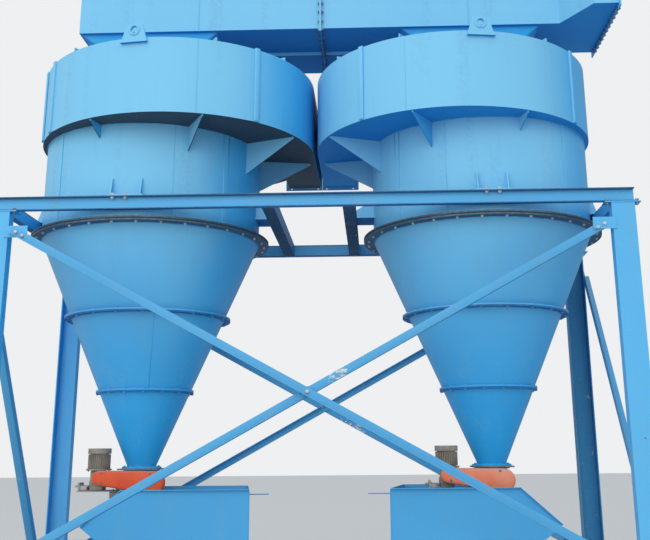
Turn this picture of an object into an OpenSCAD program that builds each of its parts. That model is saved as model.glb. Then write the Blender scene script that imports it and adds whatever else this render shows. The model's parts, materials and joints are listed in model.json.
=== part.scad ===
// Twin cyclone separator on one steel frame: two mirrored cyclones with scroll inlets,
// bolted cones, rotary valves, product hoppers and a common outlet header.
// Millimetres. Origin on the floor midway between the cyclones, X to the right,
// Y to the inlet side (the back), Z up.

/* [Cyclones] */
// Outer radius of the barrel
barrel_r = 915; // [880:5:925]
// Thickness of the sheet of barrel, cones, scroll and ducts
sheet_t = 6; // [4:1:10]
// Height of the barrel from its bolted joint to the scroll
barrel_h = 786; // [740:1:820]
// Height of the upper section of the cone
cone_upper_h = 653; // [600:1:700]
// Height of the middle section of the cone
cone_middle_h = 597; // [550:1:650]
// Height of the lower section of the cone
cone_lower_h = 599; // [550:1:620]
// Outer radius of the cone's neck
neck_r = 107; // [95:1:115]
// How far the top joint's flanges stand out from the shell
joint_rim = 85; // [60:1:95]
// How far the second joint's flanges stand out from the shell
second_rim = 55; // [40:1:70]
// How far the third joint's flanges stand out from the shell
third_rim = 27; // [20:1:40]
// Thickness of each cone flange
flange_t = 12; // [8:1:16]
// Thickness of the gasket in the top joint
gasket_t = 10; // [4:1:14]

/* [Scroll inlet] */
// Height of the scroll from underside to roof
scroll_h = 620; // [560:5:660]
// How much larger the radius of the scroll's round wall is than the barrel's
scroll_more = 255; // [250:1:265]
// How far the scroll's centre lies from the barrel's axis towards the middle
scroll_shift = 225; // [215:1:230]
// Gap between the two scrolls
scroll_gap = 35; // [20:5:60]
// Outer width of one inlet duct
inlet_w = 310; // [260:5:330]
// Distance of the inlet flange's face behind the axes
inlet_y = 1070; // [1040:5:1085]
// How far the inlet flange stands out from the duct
inlet_rim = 30; // [26:1:40]
// Thickness of the inlet flange
inlet_flange_t = 8; // [6:1:12]
// Width of the vertical wall strips
strip_w = 45; // [30:1:60]
// Thickness of the gussets under the scroll
gusset_t = 8; // [6:1:12]
// Drop of a gusset for each unit of its reach
gusset_slope = 0.55; // [0.4:0.05:0.7]
// Height of the ribs on the roof
rib_h = 35; // [25:1:45]
// Thickness of the ribs on the roof
rib_t = 10; // [8:1:14]

/* [Outlet and header] */
// Outer radius of the outlet pipe
outlet_r = 240; // [220:5:250]
// How far the outlet pipe reaches below the scroll's underside
dip_more = 120; // [60:10:140]
// Height of the outlet pipe that shows above the roof
outlet_gap = 60; // [40:5:100]
// Height of the rectangle-to-round transition
transition_h = 380; // [340:5:400]
// Width of the transition along the header
transition_w = 1200; // [1150:10:1220]
// How far the transition's upper rim stays behind the header's front and before its rear
transition_in = 40; // [20:5:60]
// How far the transitions' upper rims lie left of the outlet pipes' axes
transition_shift = 45; // [0:5:60]
// Height of the header duct
header_h = 630; // [560:10:700]
// Depth of the header duct from front to back
header_d = 1020; // [960:10:1060]
// How far the header's middle lies behind the cyclones' axes
header_y = 185; // [150:5:210]
// Place of the header's bolted joint
header_joint_x = 60; // [0:5:100]
// Distance of the header's closed end from the transition
header_end_gap = 15; // [8:1:40]
// Length of the slanting part of the header's end section
flare_l = 215; // [180:5:280]
// Length of the end section between its slanting part and its open end
flare_flat = 215; // [160:5:240]
// How far the end section comes forward
flare_w = 375; // [300:5:420]
// How far the header's flanges stand out
header_rim = 40; // [30:1:60]
// Thickness of each header flange
header_flange_t = 8; // [6:1:12]

/* [Frame] */
// Height of the top of the beams above the barrels' bolted joint
beam_rise = 177; // [150:1:200]
// Depth of the beams
beam_h = 106; // [90:1:120]
// Width of the beams' flanges
beam_w = 50; // [40:1:55]
// Thickness of the beams' web and flanges
beam_t = 7; // [5:1:9]
// How far the front and rear beams reach beyond the columns
beam_over = 7.5; // [0:0.5:20]
// Distance of the frame's front and rear faces from the barrels
frame_gap = 70; // [60:1:90]
// Distance of the columns' centres from the barrels
column_gap = 47.5; // [45:0.5:60]
// Width of a column's web
column_w = 175; // [150:1:190]
// Width of a column's flanges
column_d = 90; // [75:1:100]
// Thickness of a column's web and flanges
column_t = 9; // [7:1:12]
// Distance of the inner beams' centres from the barrels
inner_gap = 187.5; // [170:0.5:210]
// Width of the inner beams' flanges
inner_beam_w = 95; // [80:5:105]
// Width of a base plate
base_w = 400; // [360:5:420]
// Depth of a base plate
base_d = 300; // [280:5:320]
// Thickness of a base plate
base_t = 16; // [10:1:25]
// Radius of the anchor holes
anchor_r = 11; // [8:1:14]
// Distance of the anchor holes from a base plate's edges
anchor_edge = 40; // [30:1:60]

/* [Bracing] */
// Width of the legs of the bracing angles
angle_w = 80; // [60:1:90]
// Thickness of the bracing angles
angle_t = 8; // [6:1:10]
// Distance of the upper ends of the front and rear braces below the beams
brace_drop = 135; // [110:5:200]
// Height of the crossing of the front and rear braces
brace_cross_z = 1975; // [1900:5:2050]
// Distance of the upper end of a side brace below the beams
side_brace_drop = 205; // [150:5:300]
// Height of the lower end of a side brace
side_brace_foot_z = 400; // [300:5:500]

/* [Support brackets] */
// Distance between the two fins of a bracket
fin_gap = 230; // [180:5:260]
// Height of the fins
fin_h = 140; // [110:5:160]
// Thickness of fins and seat plates
fin_t = 12; // [8:1:16]

/* [Rotary valve and drive] */
// Height of the valve from the hopper's deck to the cone's neck
valve_h = 235; // [225:1:250]
// Width of the valve's square flanges
valve_flange_w = 320; // [300:5:330]
// Thickness of the valve's flanges
valve_flange_t = 12; // [8:1:14]
// Radius of the valve's body
valve_r = 107; // [100:1:112]
// Length of the valve's body
valve_l = 300; // [260:5:310]
// Radius of the bearing bosses
boss_r = 38; // [30:1:45]
// Distance of the left motor from its valve's axis
drive_left_x = 310; // [290:5:330]
// Distance of the right motor from its valve's axis
drive_right_x = 370; // [340:5:390]
// Distance of the chain guard's back in front of the valve's centre
guard_y = 220; // [210:5:240]
// Thickness of the chain guard
guard_t = 60; // [45:1:70]
// Distance between the centres of the guard's two ends
guard_l = 430; // [400:5:450]
// Distance of the left guard's small end from its valve's axis
guard_left_x = 270; // [260:5:300]
// Distance of the right guard's small end from its valve's axis
guard_right_x = 370; // [340:5:390]
// Radius of the guard's small end
guard_small_r = 56; // [50:1:62]
// Radius of the guard's large end
guard_large_r = 88; // [80:1:92]
// Radius of the motor's barrel
motor_r = 76; // [70:1:80]
// Height of the motor
motor_h = 175; // [150:5:200]

/* [Hoppers] */
// Height of the deck that carries the valve
deck_z = 1200; // [1190:1:1210]
// Height of the rim above the deck
rim_h = 85; // [70:1:100]
// Distance of the outer corner below the deck
corner_drop = 180; // [160:5:200]
// Reach of the hopper from the cyclone's axis towards the middle
hopper_in_l = 882.5; // [850:2.5:910]
// Reach of the hopper from the cyclone's axis to its outer corner
hopper_out_l = 387.5; // [365:2.5:420]
// Reach of the level rim from the cyclone's axis outwards
rim_l = 87.5; // [70:2.5:110]
// How far both hoppers stand to the right of their cyclones
hopper_shift = 60; // [0:5:80]
// Distance of the ends of the two ledges from the middle
ledge_x = 414; // [380:1:440]
// Slope of the hopper's floor
floor_angle = 38; // [34:1:40]
// Place of the front plate in front of the cyclones' axes
hopper_front = 500; // [460:5:520]
// Place of the rear plate behind the cyclones' axes
hopper_rear = 350; // [320:5:380]
// How much narrower the hopper is at the rear
hopper_taper = 120; // [60:5:140]
// Width of the hopper's outlet
outlet_w = 300; // [260:5:320]
// Width of the leg angles of the hopper's stand
leg_w = 60; // [50:1:75]

/* [Hidden] */
$fn = 96;

paint = [0.22, 0.58, 0.86];
steel_paint = [0.25, 0.60, 0.88];
zinc = [0.55, 0.56, 0.55];
motor_grey = [0.50, 0.49, 0.45];
guard_orange = [0.88, 0.34, 0.16];
gasket_brown = [0.23, 0.20, 0.18];

// Overlap that lets cuts run clear of a face
over = 1;
// Part of the sheet by which welded pieces run into it
weld = 1;

neck_z = deck_z + valve_h;
third_z = neck_z + cone_lower_h;
second_z = third_z + cone_middle_h;
joint_z = second_z + cone_upper_h;
scroll_z = joint_z + barrel_h;
scroll_top = scroll_z + scroll_h;
scroll_r = barrel_r + scroll_more;
dip_l = scroll_h + dip_more;
outlet_top_z = scroll_top + outlet_gap;
header_z = outlet_top_z + transition_h;
header_front = header_y - header_d / 2;
header_back = header_y + header_d / 2;
transition_d = header_d - 2 * transition_in;
rim_z = deck_z + rim_h;
corner_z = deck_z - corner_drop;
roof_under = scroll_top - sheet_t;
duct_out = scroll_shift + scroll_r;
axis_x = duct_out + scroll_gap / 2;
duct_in = duct_out - inlet_w;
beam_z = joint_z + beam_rise;
column_top = beam_z - beam_h;
column_x = axis_x + barrel_r + column_gap;
column_in = column_x - column_w / 2;
column_out = column_x + column_w / 2;
beam_half = column_out + beam_over;
inner_beam_x = axis_x - barrel_r - inner_gap;
frame_y = barrel_r + frame_gap;
header_out_x = column_x + base_w / 2;
flare_x = header_out_x - flare_flat - flare_l;
header_end_x = axis_x + transition_w / 2 + transition_shift + header_end_gap;
brace_top_z = column_top - brace_drop;
side_brace_top_z = column_top - side_brace_drop;
column_y = frame_y - column_d / 2;
brace_foot_z = 2 * brace_cross_z - brace_top_z;
brace_angle = atan((brace_top_z - brace_cross_z) / column_in);
brace_end_gap = 12;
brace_half = (column_in - brace_end_gap - angle_w / 2 * sin(brace_angle)) / cos(brace_angle);
corner_plate_w = 175;
corner_plate_h = 90;
corner_plate_lap = 25;
corner_plate_drop = (corner_plate_w / 2 - corner_plate_lap) * tan(brace_angle);
side_rise = side_brace_top_z - side_brace_foot_z;
side_angle = atan(side_rise / (2 * column_y));
valve_z = (neck_z + deck_z) / 2;
hopper_in = axis_x - hopper_in_l;
hopper_out = axis_x + hopper_out_l;
rim_x = axis_x + rim_l;
// Angles of the gussets round the barrel, from the front towards the middle
gusset_angles = [-15.5, 29, 68, 101, 150, -150];
// Angles of the wall strips round the scroll's centre
strip_angles = [-53, 41];
// Angles of the roof ribs round the barrel's axis
rib_angles = [-28, 33, 62, 120, 170, -110];
// Angles of the barrel's vertical strips
barrel_strip_angles = [-42, 51, 132, -132];
// Angles of the lifting lugs round the scroll's centre
lug_angles = [-8, -172];
lug_base = 220;
lug_top = 130;
lug_h = 150;
lug_t = 14;
lug_hole_r = 26;
lug_lap = 45;
lug_edge = 16;
strip_rise = 12;

// Clearance where a plate meets a curved shell
seat = 0.3;
// Thin slice that shapes the ends of a blended form
skin = 0.01;
gusset_nose = 15;
flange_seam = 1;
inlet_bolt_in = 25;
inlet_bolt_r = 6;
pipe_gap = 2;
roof_ring = 45;
seat_back = 5;
barrel_strip_w = 40;
neck_rim = 50;
drive_plate_t = 12;
gearbox_w = 130;
gearbox_h = 196;
output_boss = 20;
output_r = 30;
motor_cowl = 45;
motor_fins = 20;
fin_w = 4;
guard_small_rise = 50;
guard_large_rise = 12;
lip_w = 25;
hopper_rim = 40;
hopper_bolt_r = 7;
header_bolt_r = 7;
ledge_w = 60;
ledge_rise = 12;
foot_w = 110;
foot_t = 10;

// Outer radius of the cone at height z
function cone_r(z) = neck_r + (barrel_r - neck_r) * (z - neck_z) / (joint_z - neck_z);
// Distance from the barrel's axis to the scroll's wall in direction a
function wall_r(a) = scroll_shift * sin(a) + sqrt(pow(scroll_r, 2) - pow(scroll_shift * cos(a), 2));
// Inward normal of an edge of a polygon that runs anticlockwise
function inward(a, b) = let (d = (b - a) / norm(b - a)) [-d.y, d.x];
// A convex polygon drawn inwards by t
function inset(pts, t) = [
    for (i = [0 : len(pts) - 1])
        let (n = len(pts), a = pts[(i + n - 1) % n], b = pts[i], c = pts[(i + 1) % n],
             p = inward(a, b), q = inward(b, c))
        b + t * (p + q) / (1 + p * q)
];

// Places a child drawn for the right cyclone on either side, the left one mirrored
module on_side(side) {
    mirror([side < 0 ? 1 : 0, 0, 0]) translate([axis_x, 0, 0]) children();
}

// Turns a child from the front (-Y) by angle a towards the middle (-X on the right side)
module towards(a) {
    rotate([0, 0, -a]) children();
}

// Stands a plate drawn as reach and height upright, its reach towards the front
module upright(t) {
    rotate([90, 0, -90]) linear_extrude(height = t, center = true) children();
}

// Runs a profile drawn as x and height from y0 to y1
module along_y(y0, y1) {
    translate([0, y1, 0]) rotate([90, 0, 0]) linear_extrude(height = y1 - y0) children();
}

// Square ring with its outer and inner edges given as [low, high] pairs of x and y
module frame_plan(outer_low, outer_high, inner_low, inner_high) {
    difference() {
        translate(outer_low) square(outer_high - outer_low);
        translate(inner_low) square(inner_high - inner_low);
    }
}

// Frame
module column_plan() {
    difference() {
        translate([-column_w / 2, 0]) square([column_w, column_d]);
        translate([-column_w / 2 + column_t, column_t]) square([column_w - 2 * column_t, column_d]);
    }
}

module base_plate() {
    difference() {
        translate([-base_w / 2, -base_d / 2, 0]) cube([base_w, base_d, base_t]);
        for (x = [-1, 1], y = [-1, 1])
            translate([x * (base_w / 2 - anchor_edge), y * (base_d / 2 - anchor_edge), -over])
                cylinder(r = anchor_r, h = base_t + 2 * over);
    }
}

// Front right column with its base plate and the corner plates of the front braces
module column() {
    translate([column_x, -column_y, 0]) base_plate();
    translate([column_x, -frame_y, base_t - weld])
        linear_extrude(height = column_top - base_t + weld) column_plan();
    for (z = [brace_top_z - corner_plate_drop, brace_foot_z + corner_plate_drop])
        translate([column_in + corner_plate_lap - corner_plate_w, -frame_y - angle_t, z - corner_plate_h / 2])
            cube([corner_plate_w, angle_t, corner_plate_h]);
}

module column_at(sx, sy) {
    color(steel_paint) mirror([sx < 0 ? 1 : 0, 0, 0]) mirror([0, sy > 0 ? 1 : 0, 0]) column();
}

module beam_plan(width) {
    difference() {
        translate([0, -beam_h]) square([width, beam_h]);
        translate([-beam_t, -beam_h + beam_t]) square([width, beam_h - 2 * beam_t]);
    }
}

// Level channel along X with its flanges' edges at y = 0, its web behind them and its top at z = 0
module beam(length, width) {
    translate([-length / 2, 0, 0]) rotate([90, 0, 90]) linear_extrude(height = length) beam_plan(width);
}

module long_beam(sy) {
    color(steel_paint) mirror([0, sy > 0 ? 1 : 0, 0]) translate([0, -frame_y, beam_z])
        beam(2 * beam_half, beam_w);
}

// Channel between the long beams, its open side away from the middle
module cross_beam(side, x, width) {
    color(steel_paint) mirror([side < 0 ? 1 : 0, 0, 0])
        translate([x + width / 2, 0, beam_z]) rotate([0, 0, 90]) beam(2 * (frame_y - beam_w), width);
}

// Angle bar along X: flat leg behind y = 0, the other leg at its lower edge towards +Y
module angle_bar(half_length) {
    translate([-half_length, 0, 0]) rotate([90, 0, 90]) linear_extrude(height = 2 * half_length)
        translate([0, -angle_w / 2]) difference() {
            square([angle_w, angle_w]);
            translate([angle_t, angle_t]) square([angle_w, angle_w]);
        }
}

// Brace that falls to the right, in front of the corner plates, packed out at the crossing
module falling_brace(sy) {
    color(steel_paint) mirror([0, sy > 0 ? 1 : 0, 0]) translate([0, -frame_y - angle_t, brace_cross_z]) {
        rotate([0, brace_angle, 0]) mirror([0, 1, 0]) angle_bar(brace_half);
        translate([-angle_w / 2, -weld, -angle_w / 2]) cube([angle_w, angle_t + weld, angle_w]);
    }
}

// Brace that rises to the right, behind the corner plates
module rising_brace(sy) {
    color(steel_paint) mirror([0, sy > 0 ? 1 : 0, 0]) translate([0, -frame_y, brace_cross_z])
        rotate([0, -brace_angle, 0]) angle_bar(brace_half);
}

// Single diagonal on the outer faces of a pair of columns
module side_brace(side) {
    color(steel_paint) translate([side * column_out, 0, (side_brace_top_z + side_brace_foot_z) / 2])
        rotate([0, 0, side < 0 ? 90 : -90])
            rotate([0, side_angle, 0]) angle_bar(norm([column_y, side_rise / 2]));
}

// Scroll, in plan, drawn inwards by t, its duct running back to y_end
module scroll_plan(t, y_end) {
    translate([-scroll_shift, 0]) circle(r = scroll_r - t);
    translate([-duct_out + t, 0]) square([inlet_w - 2 * t, y_end]);
}

module gusset(a) {
    reach = wall_r(a) - barrel_r;
    towards(a) upright(gusset_t) translate([barrel_r + seat, scroll_z]) polygon([
        [0, weld], [reach - gusset_nose, weld], [reach - gusset_nose, -gusset_nose],
        [0, -gusset_nose - gusset_slope * reach]
    ]);
}

module wall_strip(a) {
    half = asin(strip_w / 2 / scroll_r);
    translate([-scroll_shift, 0, 0]) towards(a) rotate([0, 0, -90 - half])
        rotate_extrude(angle = 2 * half) translate([scroll_r - weld, scroll_z])
            square([sheet_t + weld, scroll_h + strip_rise - sheet_t]);
}

// Lifting lugs: flat plates that stand against the scroll's wall, each on a narrow foot bar
module lugs(side) {
    color(paint) on_side(side) translate([-scroll_shift, 0, scroll_top - lug_lap]) for (a = lug_angles)
        towards(a) {
            along_y(-scroll_r - seat - lug_t, -scroll_r - seat) difference() {
                polygon([[-lug_base / 2, 0], [lug_base / 2, 0], [lug_top / 2, lug_h], [-lug_top / 2, lug_h]]);
                translate([0, lug_h - lug_hole_r - lug_edge]) circle(r = lug_hole_r);
            }
            along_y(-scroll_r - seat - 2 * lug_t, -scroll_r - seat - lug_t + weld)
                translate([-lug_base / 2, 0]) square([lug_base, lug_t]);
        }
}

module inlet_flange() {
    low = [-axis_x + flange_seam, scroll_z - inlet_rim];
    high = [-duct_in + inlet_rim, scroll_top + inlet_rim];
    along_y(inlet_y - inlet_flange_t, inlet_y) difference() {
        frame_plan(low, high, [-duct_out + sheet_t, scroll_z + sheet_t], [-duct_in - sheet_t, roof_under]);
        for (x = [-duct_out + inlet_bolt_in, -duct_in - inlet_bolt_in],
             z = [scroll_z - inlet_rim / 2, scroll_top + inlet_rim / 2])
            translate([x, z]) circle(r = inlet_bolt_r);
    }
}

module scroll(side) {
    color(paint) on_side(side) {
        difference() {
            union() {
                translate([0, 0, scroll_z]) linear_extrude(height = scroll_h - sheet_t) difference() {
                    scroll_plan(0, inlet_y - weld);
                    scroll_plan(sheet_t, inlet_y);
                }
                translate([0, 0, scroll_z]) linear_extrude(height = sheet_t) difference() {
                    scroll_plan(0, inlet_y - weld);
                    circle(r = barrel_r - sheet_t);
                }
                for (a = gusset_angles) gusset(a);
                for (a = strip_angles) wall_strip(a);
            }
            translate([-scroll_shift, 0, roof_under]) cylinder(r = scroll_r, h = lug_h);
        }
        inlet_flange();
    }
}

module roof(side) {
    color(paint) on_side(side) {
        difference() {
            translate([0, 0, roof_under]) linear_extrude(height = sheet_t)
                scroll_plan(0, inlet_y - inlet_flange_t);
            translate([0, 0, roof_under - over]) cylinder(r = outlet_r + pipe_gap, h = sheet_t + 2 * over);
        }
        for (a = rib_angles)
            towards(a) translate([-rib_t / 2, -wall_r(a) + rib_t, scroll_top - weld])
                cube([rib_t, wall_r(a) - rib_t - outlet_r - roof_ring - rib_t, rib_h + weld]);
    }
}

// Seat of the barrel on a beam: a seat plate and two fins, reaching to the given radius
module bracket(a, reach) {
    towards(a) {
        translate([-fin_gap / 2 - 2 * fin_t, -reach, beam_z])
            cube([fin_gap + 4 * fin_t, reach - barrel_r + 2 * fin_t, fin_t]);
        for (x = [-fin_gap / 2, fin_gap / 2])
            translate([x, 0, beam_z + fin_t]) upright(fin_t) polygon([
                [barrel_r - 2 * fin_t, -weld], [reach - fin_t, -weld], [reach - fin_t, fin_t],
                [barrel_r + fin_t, fin_h], [barrel_r - 2 * fin_t, fin_h]
            ]);
    }
}

module barrel(side) {
    low = joint_z + gasket_t / 2;
    color(paint) on_side(side) difference() {
        union() {
            translate([0, 0, low]) cylinder(r = barrel_r, h = scroll_z - low);
            translate([0, 0, low]) cylinder(r = barrel_r + joint_rim, h = flange_t);
            for (a = barrel_strip_angles)
                towards(a) translate([-barrel_strip_w / 2, -barrel_r - sheet_t, low + flange_t - weld])
                    cube([barrel_strip_w, sheet_t + weld, scroll_z - low - flange_t + weld]);
            bracket(0, frame_y - seat_back);
            bracket(180, frame_y - seat_back);
            bracket(90, axis_x - inner_beam_x + inner_beam_w / 2 - seat_back);
            bracket(-90, column_x + beam_w / 2 - axis_x - seat_back);
        }
        translate([0, 0, low - over]) cylinder(r = barrel_r - sheet_t, h = scroll_z - low + 2 * over);
    }
}

module gasket(side) {
    color(gasket_brown) on_side(side) translate([0, 0, joint_z - gasket_t / 2]) difference() {
        cylinder(r = barrel_r + joint_rim, h = gasket_t);
        translate([0, 0, -over]) cylinder(r = barrel_r - sheet_t, h = gasket_t + 2 * over);
    }
}

// Section of the cone between two heights with a flange at each end
module cone_section(side, z0, z1, rim0, rim1) {
    wall = sheet_t * norm([1, (barrel_r - neck_r) / (joint_z - neck_z)]);
    color(paint) on_side(side) rotate_extrude() {
        polygon([[cone_r(z0) - wall, z0], [cone_r(z0), z0], [cone_r(z1), z1], [cone_r(z1) - wall, z1]]);
        translate([cone_r(z0 + flange_t) - wall / 2, z0])
            square([cone_r(z0) + rim0 - cone_r(z0 + flange_t) + wall / 2, flange_t]);
        translate([cone_r(z1) - wall / 2, z1 - flange_t]) square([rim1 + wall / 2, flange_t]);
    }
}

module cone_upper(side) { cone_section(side, second_z, joint_z - gasket_t / 2, second_rim, joint_rim); }
module cone_middle(side) { cone_section(side, third_z, second_z, third_rim, second_rim); }
module cone_lower(side) { cone_section(side, neck_z, third_z, neck_rim, third_rim); }

// Rectangle-to-round form, drawn inwards by t and lengthened by more at both ends
module transition_form(side, t, more) {
    hull() {
        translate([-side * transition_shift, header_y, header_z - skin + more]) linear_extrude(height = skin)
            square([transition_w - 2 * t, transition_d - 2 * t], center = true);
        translate([0, 0, outlet_top_z - more]) linear_extrude(height = skin)
            circle(r = outlet_r - t, $fn = 48);
    }
}

module transition(side) {
    color(paint) on_side(side) difference() {
        transition_form(side, 0, 0);
        transition_form(side, sheet_t, skin);
    }
}

// Pipe that dips into the barrel, with a ring that bears on the scroll's roof
module outlet(side) {
    pipe_l = outlet_top_z - scroll_top + dip_l;
    color(paint) on_side(side) translate([0, 0, scroll_top - dip_l]) difference() {
        union() {
            cylinder(r = outlet_r, h = pipe_l);
            translate([0, 0, dip_l]) cylinder(r = outlet_r + roof_ring, h = flange_t);
        }
        translate([0, 0, -over]) cylinder(r = outlet_r - sheet_t, h = pipe_l + 2 * over);
    }
}

// Distance of the guard's small end from the valve's axis on either side
function guard_x(side) = side < 0 ? guard_left_x : guard_right_x;

// Rotary valve and its drive
module valve(side) {
    mid = valve_flange_w / 2;
    color(zinc) translate([side * axis_x, 0, 0]) {
        for (z = [deck_z, neck_z - valve_flange_t])
            translate([-mid, -mid, z]) cube([valve_flange_w, valve_flange_w, valve_flange_t]);
        translate([-valve_r, -valve_r, deck_z + valve_flange_t - weld])
            cube([2 * valve_r, 2 * valve_r, neck_z - deck_z - 2 * valve_flange_t + 2 * weld]);
        translate([0, 0, valve_z]) rotate([90, 0, 0]) {
            cylinder(r = valve_r, h = valve_l, center = true);
            cylinder(r = boss_r, h = 2 * guard_y, center = true);
        }
    }
}

module gearmotor(side) {
    plate_z = deck_z + valve_flange_t;
    box_z = plate_z + drive_plate_t;
    motor_z = box_z + gearbox_h;
    box_y = -guard_y + output_boss + gearbox_w / 2;
    drive_x = side < 0 ? drive_left_x : drive_right_x;
    color(motor_grey) translate([side * axis_x, 0, 0]) {
        translate([-drive_x - gearbox_w, box_y - gearbox_w / 2, plate_z])
            cube([drive_x + gearbox_w - valve_r - pipe_gap, 1.5 * gearbox_w, drive_plate_t]);
        translate([-drive_x, box_y, 0]) {
            translate([-gearbox_w / 2, -gearbox_w / 2, box_z - weld])
                cube([gearbox_w, gearbox_w, gearbox_h + 2 * weld]);
            translate([0, 0, motor_z]) cylinder(r = motor_r + 18, h = flange_t);
            translate([0, 0, motor_z + flange_t - weld]) linear_extrude(height = motor_h - motor_cowl) {
                circle(r = motor_r - 8);
                for (i = [0 : motor_fins - 1])
                    rotate([0, 0, i * 360 / motor_fins]) translate([-fin_w / 2, 0]) square([fin_w, motor_r]);
            }
            translate([0, 0, motor_z + flange_t + motor_h - motor_cowl - 2 * weld])
                cylinder(r = motor_r + 4, h = motor_cowl);
        }
        translate([-guard_x(side), box_y - gearbox_w / 2, valve_z + guard_small_rise]) rotate([90, 0, 0])
            cylinder(r = output_r, h = output_boss);
    }
}

module guard(side) {
    color(guard_orange) translate([side * axis_x, 0, valve_z]) along_y(-guard_y - guard_t, -guard_y) hull() {
        translate([-guard_x(side), guard_small_rise]) circle(r = guard_small_r, $fn = 32);
        translate([guard_l - guard_x(side), guard_large_rise]) circle(r = guard_large_r, $fn = 32);
    }
}

// Hopper, drawn for the right side in distances from the middle
outlet_z = corner_z - (hopper_out - hopper_in - outlet_w) * tan(floor_angle);

// Outline seen from the front, the outlet lowered by drop
function hopper_outline(drop) = [
    [hopper_in, outlet_z - drop],
    [hopper_in + outlet_w - drop / tan(floor_angle), outlet_z - drop],
    [hopper_out, corner_z],
    [rim_x, rim_z],
    [hopper_in, rim_z]
];

// Plan that narrows to the rear, lengthened outwards by more
function hopper_plan(more) = [
    [hopper_in, -hopper_front],
    [hopper_out + more, -hopper_front],
    [hopper_out + more, hopper_rear],
    [hopper_in + hopper_taper, hopper_rear]
];

module hopper_room() {
    more = sheet_t + over;
    intersection() {
        along_y(-hopper_front, hopper_rear) union() {
            intersection() {
                polygon(inset(hopper_outline(more), sheet_t));
                square([hopper_out, deck_z - sheet_t]);
            }
            translate([hopper_in, deck_z]) square([hopper_out - hopper_in, rim_z - deck_z + over]);
        }
        linear_extrude(height = rim_z + 2 * over) polygon(inset(hopper_plan(more), sheet_t));
    }
}

module hopper_lip() {
    along_y(-hopper_front - lip_w, -hopper_front + weld) difference() {
        polygon(hopper_outline(0));
        polygon(inset(hopper_outline(0), sheet_t));
        translate([0, 0]) square([hopper_out + over, corner_z]);
        translate([0, 0]) square([hopper_in + sheet_t, rim_z - sheet_t]);
    }
}

module hopper_flange() {
    low = [hopper_in - hopper_rim, -hopper_front - hopper_rim];
    high = [hopper_in + outlet_w + hopper_rim, hopper_rear + hopper_rim];
    mid = [hopper_rim, hopper_rim] / 2;
    translate([0, 0, outlet_z]) linear_extrude(height = flange_t) difference() {
        translate(low) square(high - low);
        intersection() {
            polygon(inset(hopper_plan(sheet_t), sheet_t));
            translate([hopper_in, -hopper_front]) square([outlet_w - 2 * sheet_t, hopper_front + hopper_rear]);
        }
        for (x = [low.x + mid.x, high.x - mid.x], y = [low.y + mid.y, high.y - mid.y])
            translate([x, y]) circle(r = hopper_bolt_r);
    }
}

module hopper(side) {
    color(paint) mirror([side < 0 ? 1 : 0, 0, 0]) translate([side * hopper_shift, 0, 0]) {
        difference() {
            intersection() {
                along_y(-hopper_front, hopper_rear) polygon(hopper_outline(0));
                linear_extrude(height = rim_z + over) polygon(hopper_plan(0));
            }
            hopper_room();
            translate([axis_x - side * hopper_shift, 0, deck_z - 2 * sheet_t]) cylinder(r = valve_r - sheet_t, h = 3 * sheet_t);
        }
        hopper_lip();
        hopper_flange();
        translate([ledge_x - side * hopper_shift, hopper_rear - ledge_w, deck_z + ledge_rise])
            cube([hopper_in + hopper_taper + side * hopper_shift - ledge_x, ledge_w, sheet_t]);
    }
}

module stand(side) {
    inner_x = hopper_in + outlet_w + hopper_rim + foot_w / 2;
    color(steel_paint) mirror([side < 0 ? 1 : 0, 0, 0]) translate([side * hopper_shift, 0, 0]) difference() {
        for (x = [inner_x, hopper_out - 2 * foot_w], y = [-1, 1])
            translate([x, y > 0 ? hopper_rear : -hopper_front, 0]) mirror([0, y > 0 ? 1 : 0, 0]) {
                translate([-foot_w / 2 + leg_w / 2, -foot_w / 2 + leg_w / 2, 0])
                    cube([foot_w, foot_w, foot_t]);
                linear_extrude(height = corner_z) difference() {
                    square([leg_w, leg_w]);
                    translate([sheet_t, sheet_t]) square([leg_w, leg_w]);
                }
            }
        along_y(-hopper_front - over, hopper_rear + over) polygon(hopper_outline(0));
    }
}

// Header duct between two places, closed at either end if asked
module duct(x0, x1, closed0) {
    translate([x0, header_front, header_z]) difference() {
        cube([x1 - x0, header_d, header_h]);
        translate([closed0 ? sheet_t : -over, sheet_t, sheet_t])
            cube([x1 - x0 + 2 * over, header_d - 2 * sheet_t, header_h - 2 * sheet_t]);
    }
}

// Flange frame round a duct as deep as the header, its front at y0 and its low face at x
module duct_flange(x, y0, bolts) {
    y1 = y0 + header_d;
    translate([x, 0, 0]) rotate([90, 0, 90]) linear_extrude(height = header_flange_t) difference() {
        frame_plan([y0 - header_rim, header_z - header_rim],
                   [y1 + header_rim, header_z + header_h + header_rim],
                   [y0 + sheet_t, header_z + sheet_t],
                   [y1 - sheet_t, header_z + header_h - sheet_t]);
        if (bolts)
            for (y = [y0 - header_rim / 2, y1 + header_rim / 2],
                 z = [header_z - header_rim / 2, header_z + header_h + header_rim / 2])
                translate([y, z]) circle(r = header_bolt_r);
    }
}

module outlet_hole(side) {
    translate([side * axis_x - transition_shift, header_y, header_z])
        cube([transition_w - 2 * sheet_t, transition_d - 2 * sheet_t, 3 * sheet_t], center = true);
}

module header_left() {
    color(paint) {
        difference() {
            duct(-header_end_x, header_joint_x - weld, true);
            outlet_hole(-1);
        }
        duct_flange(header_joint_x - header_flange_t, header_front, false);
    }
}

module header_right() {
    color(paint) {
        difference() {
            duct(header_joint_x + weld, flare_x, false);
            outlet_hole(1);
        }
        duct_flange(header_joint_x, header_front, false);
    }
}

// Plan of the end section that steps towards the front, its ends lengthened by more
function flare_plan(more) = [
    [flare_x - more, header_front + more * flare_w / flare_l],
    [flare_x + flare_l, header_front - flare_w],
    [header_out_x + more, header_front - flare_w],
    [header_out_x + more, header_back - flare_w],
    [flare_x + flare_l, header_back - flare_w],
    [flare_x - more, header_back + more * flare_w / flare_l]
];

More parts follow.
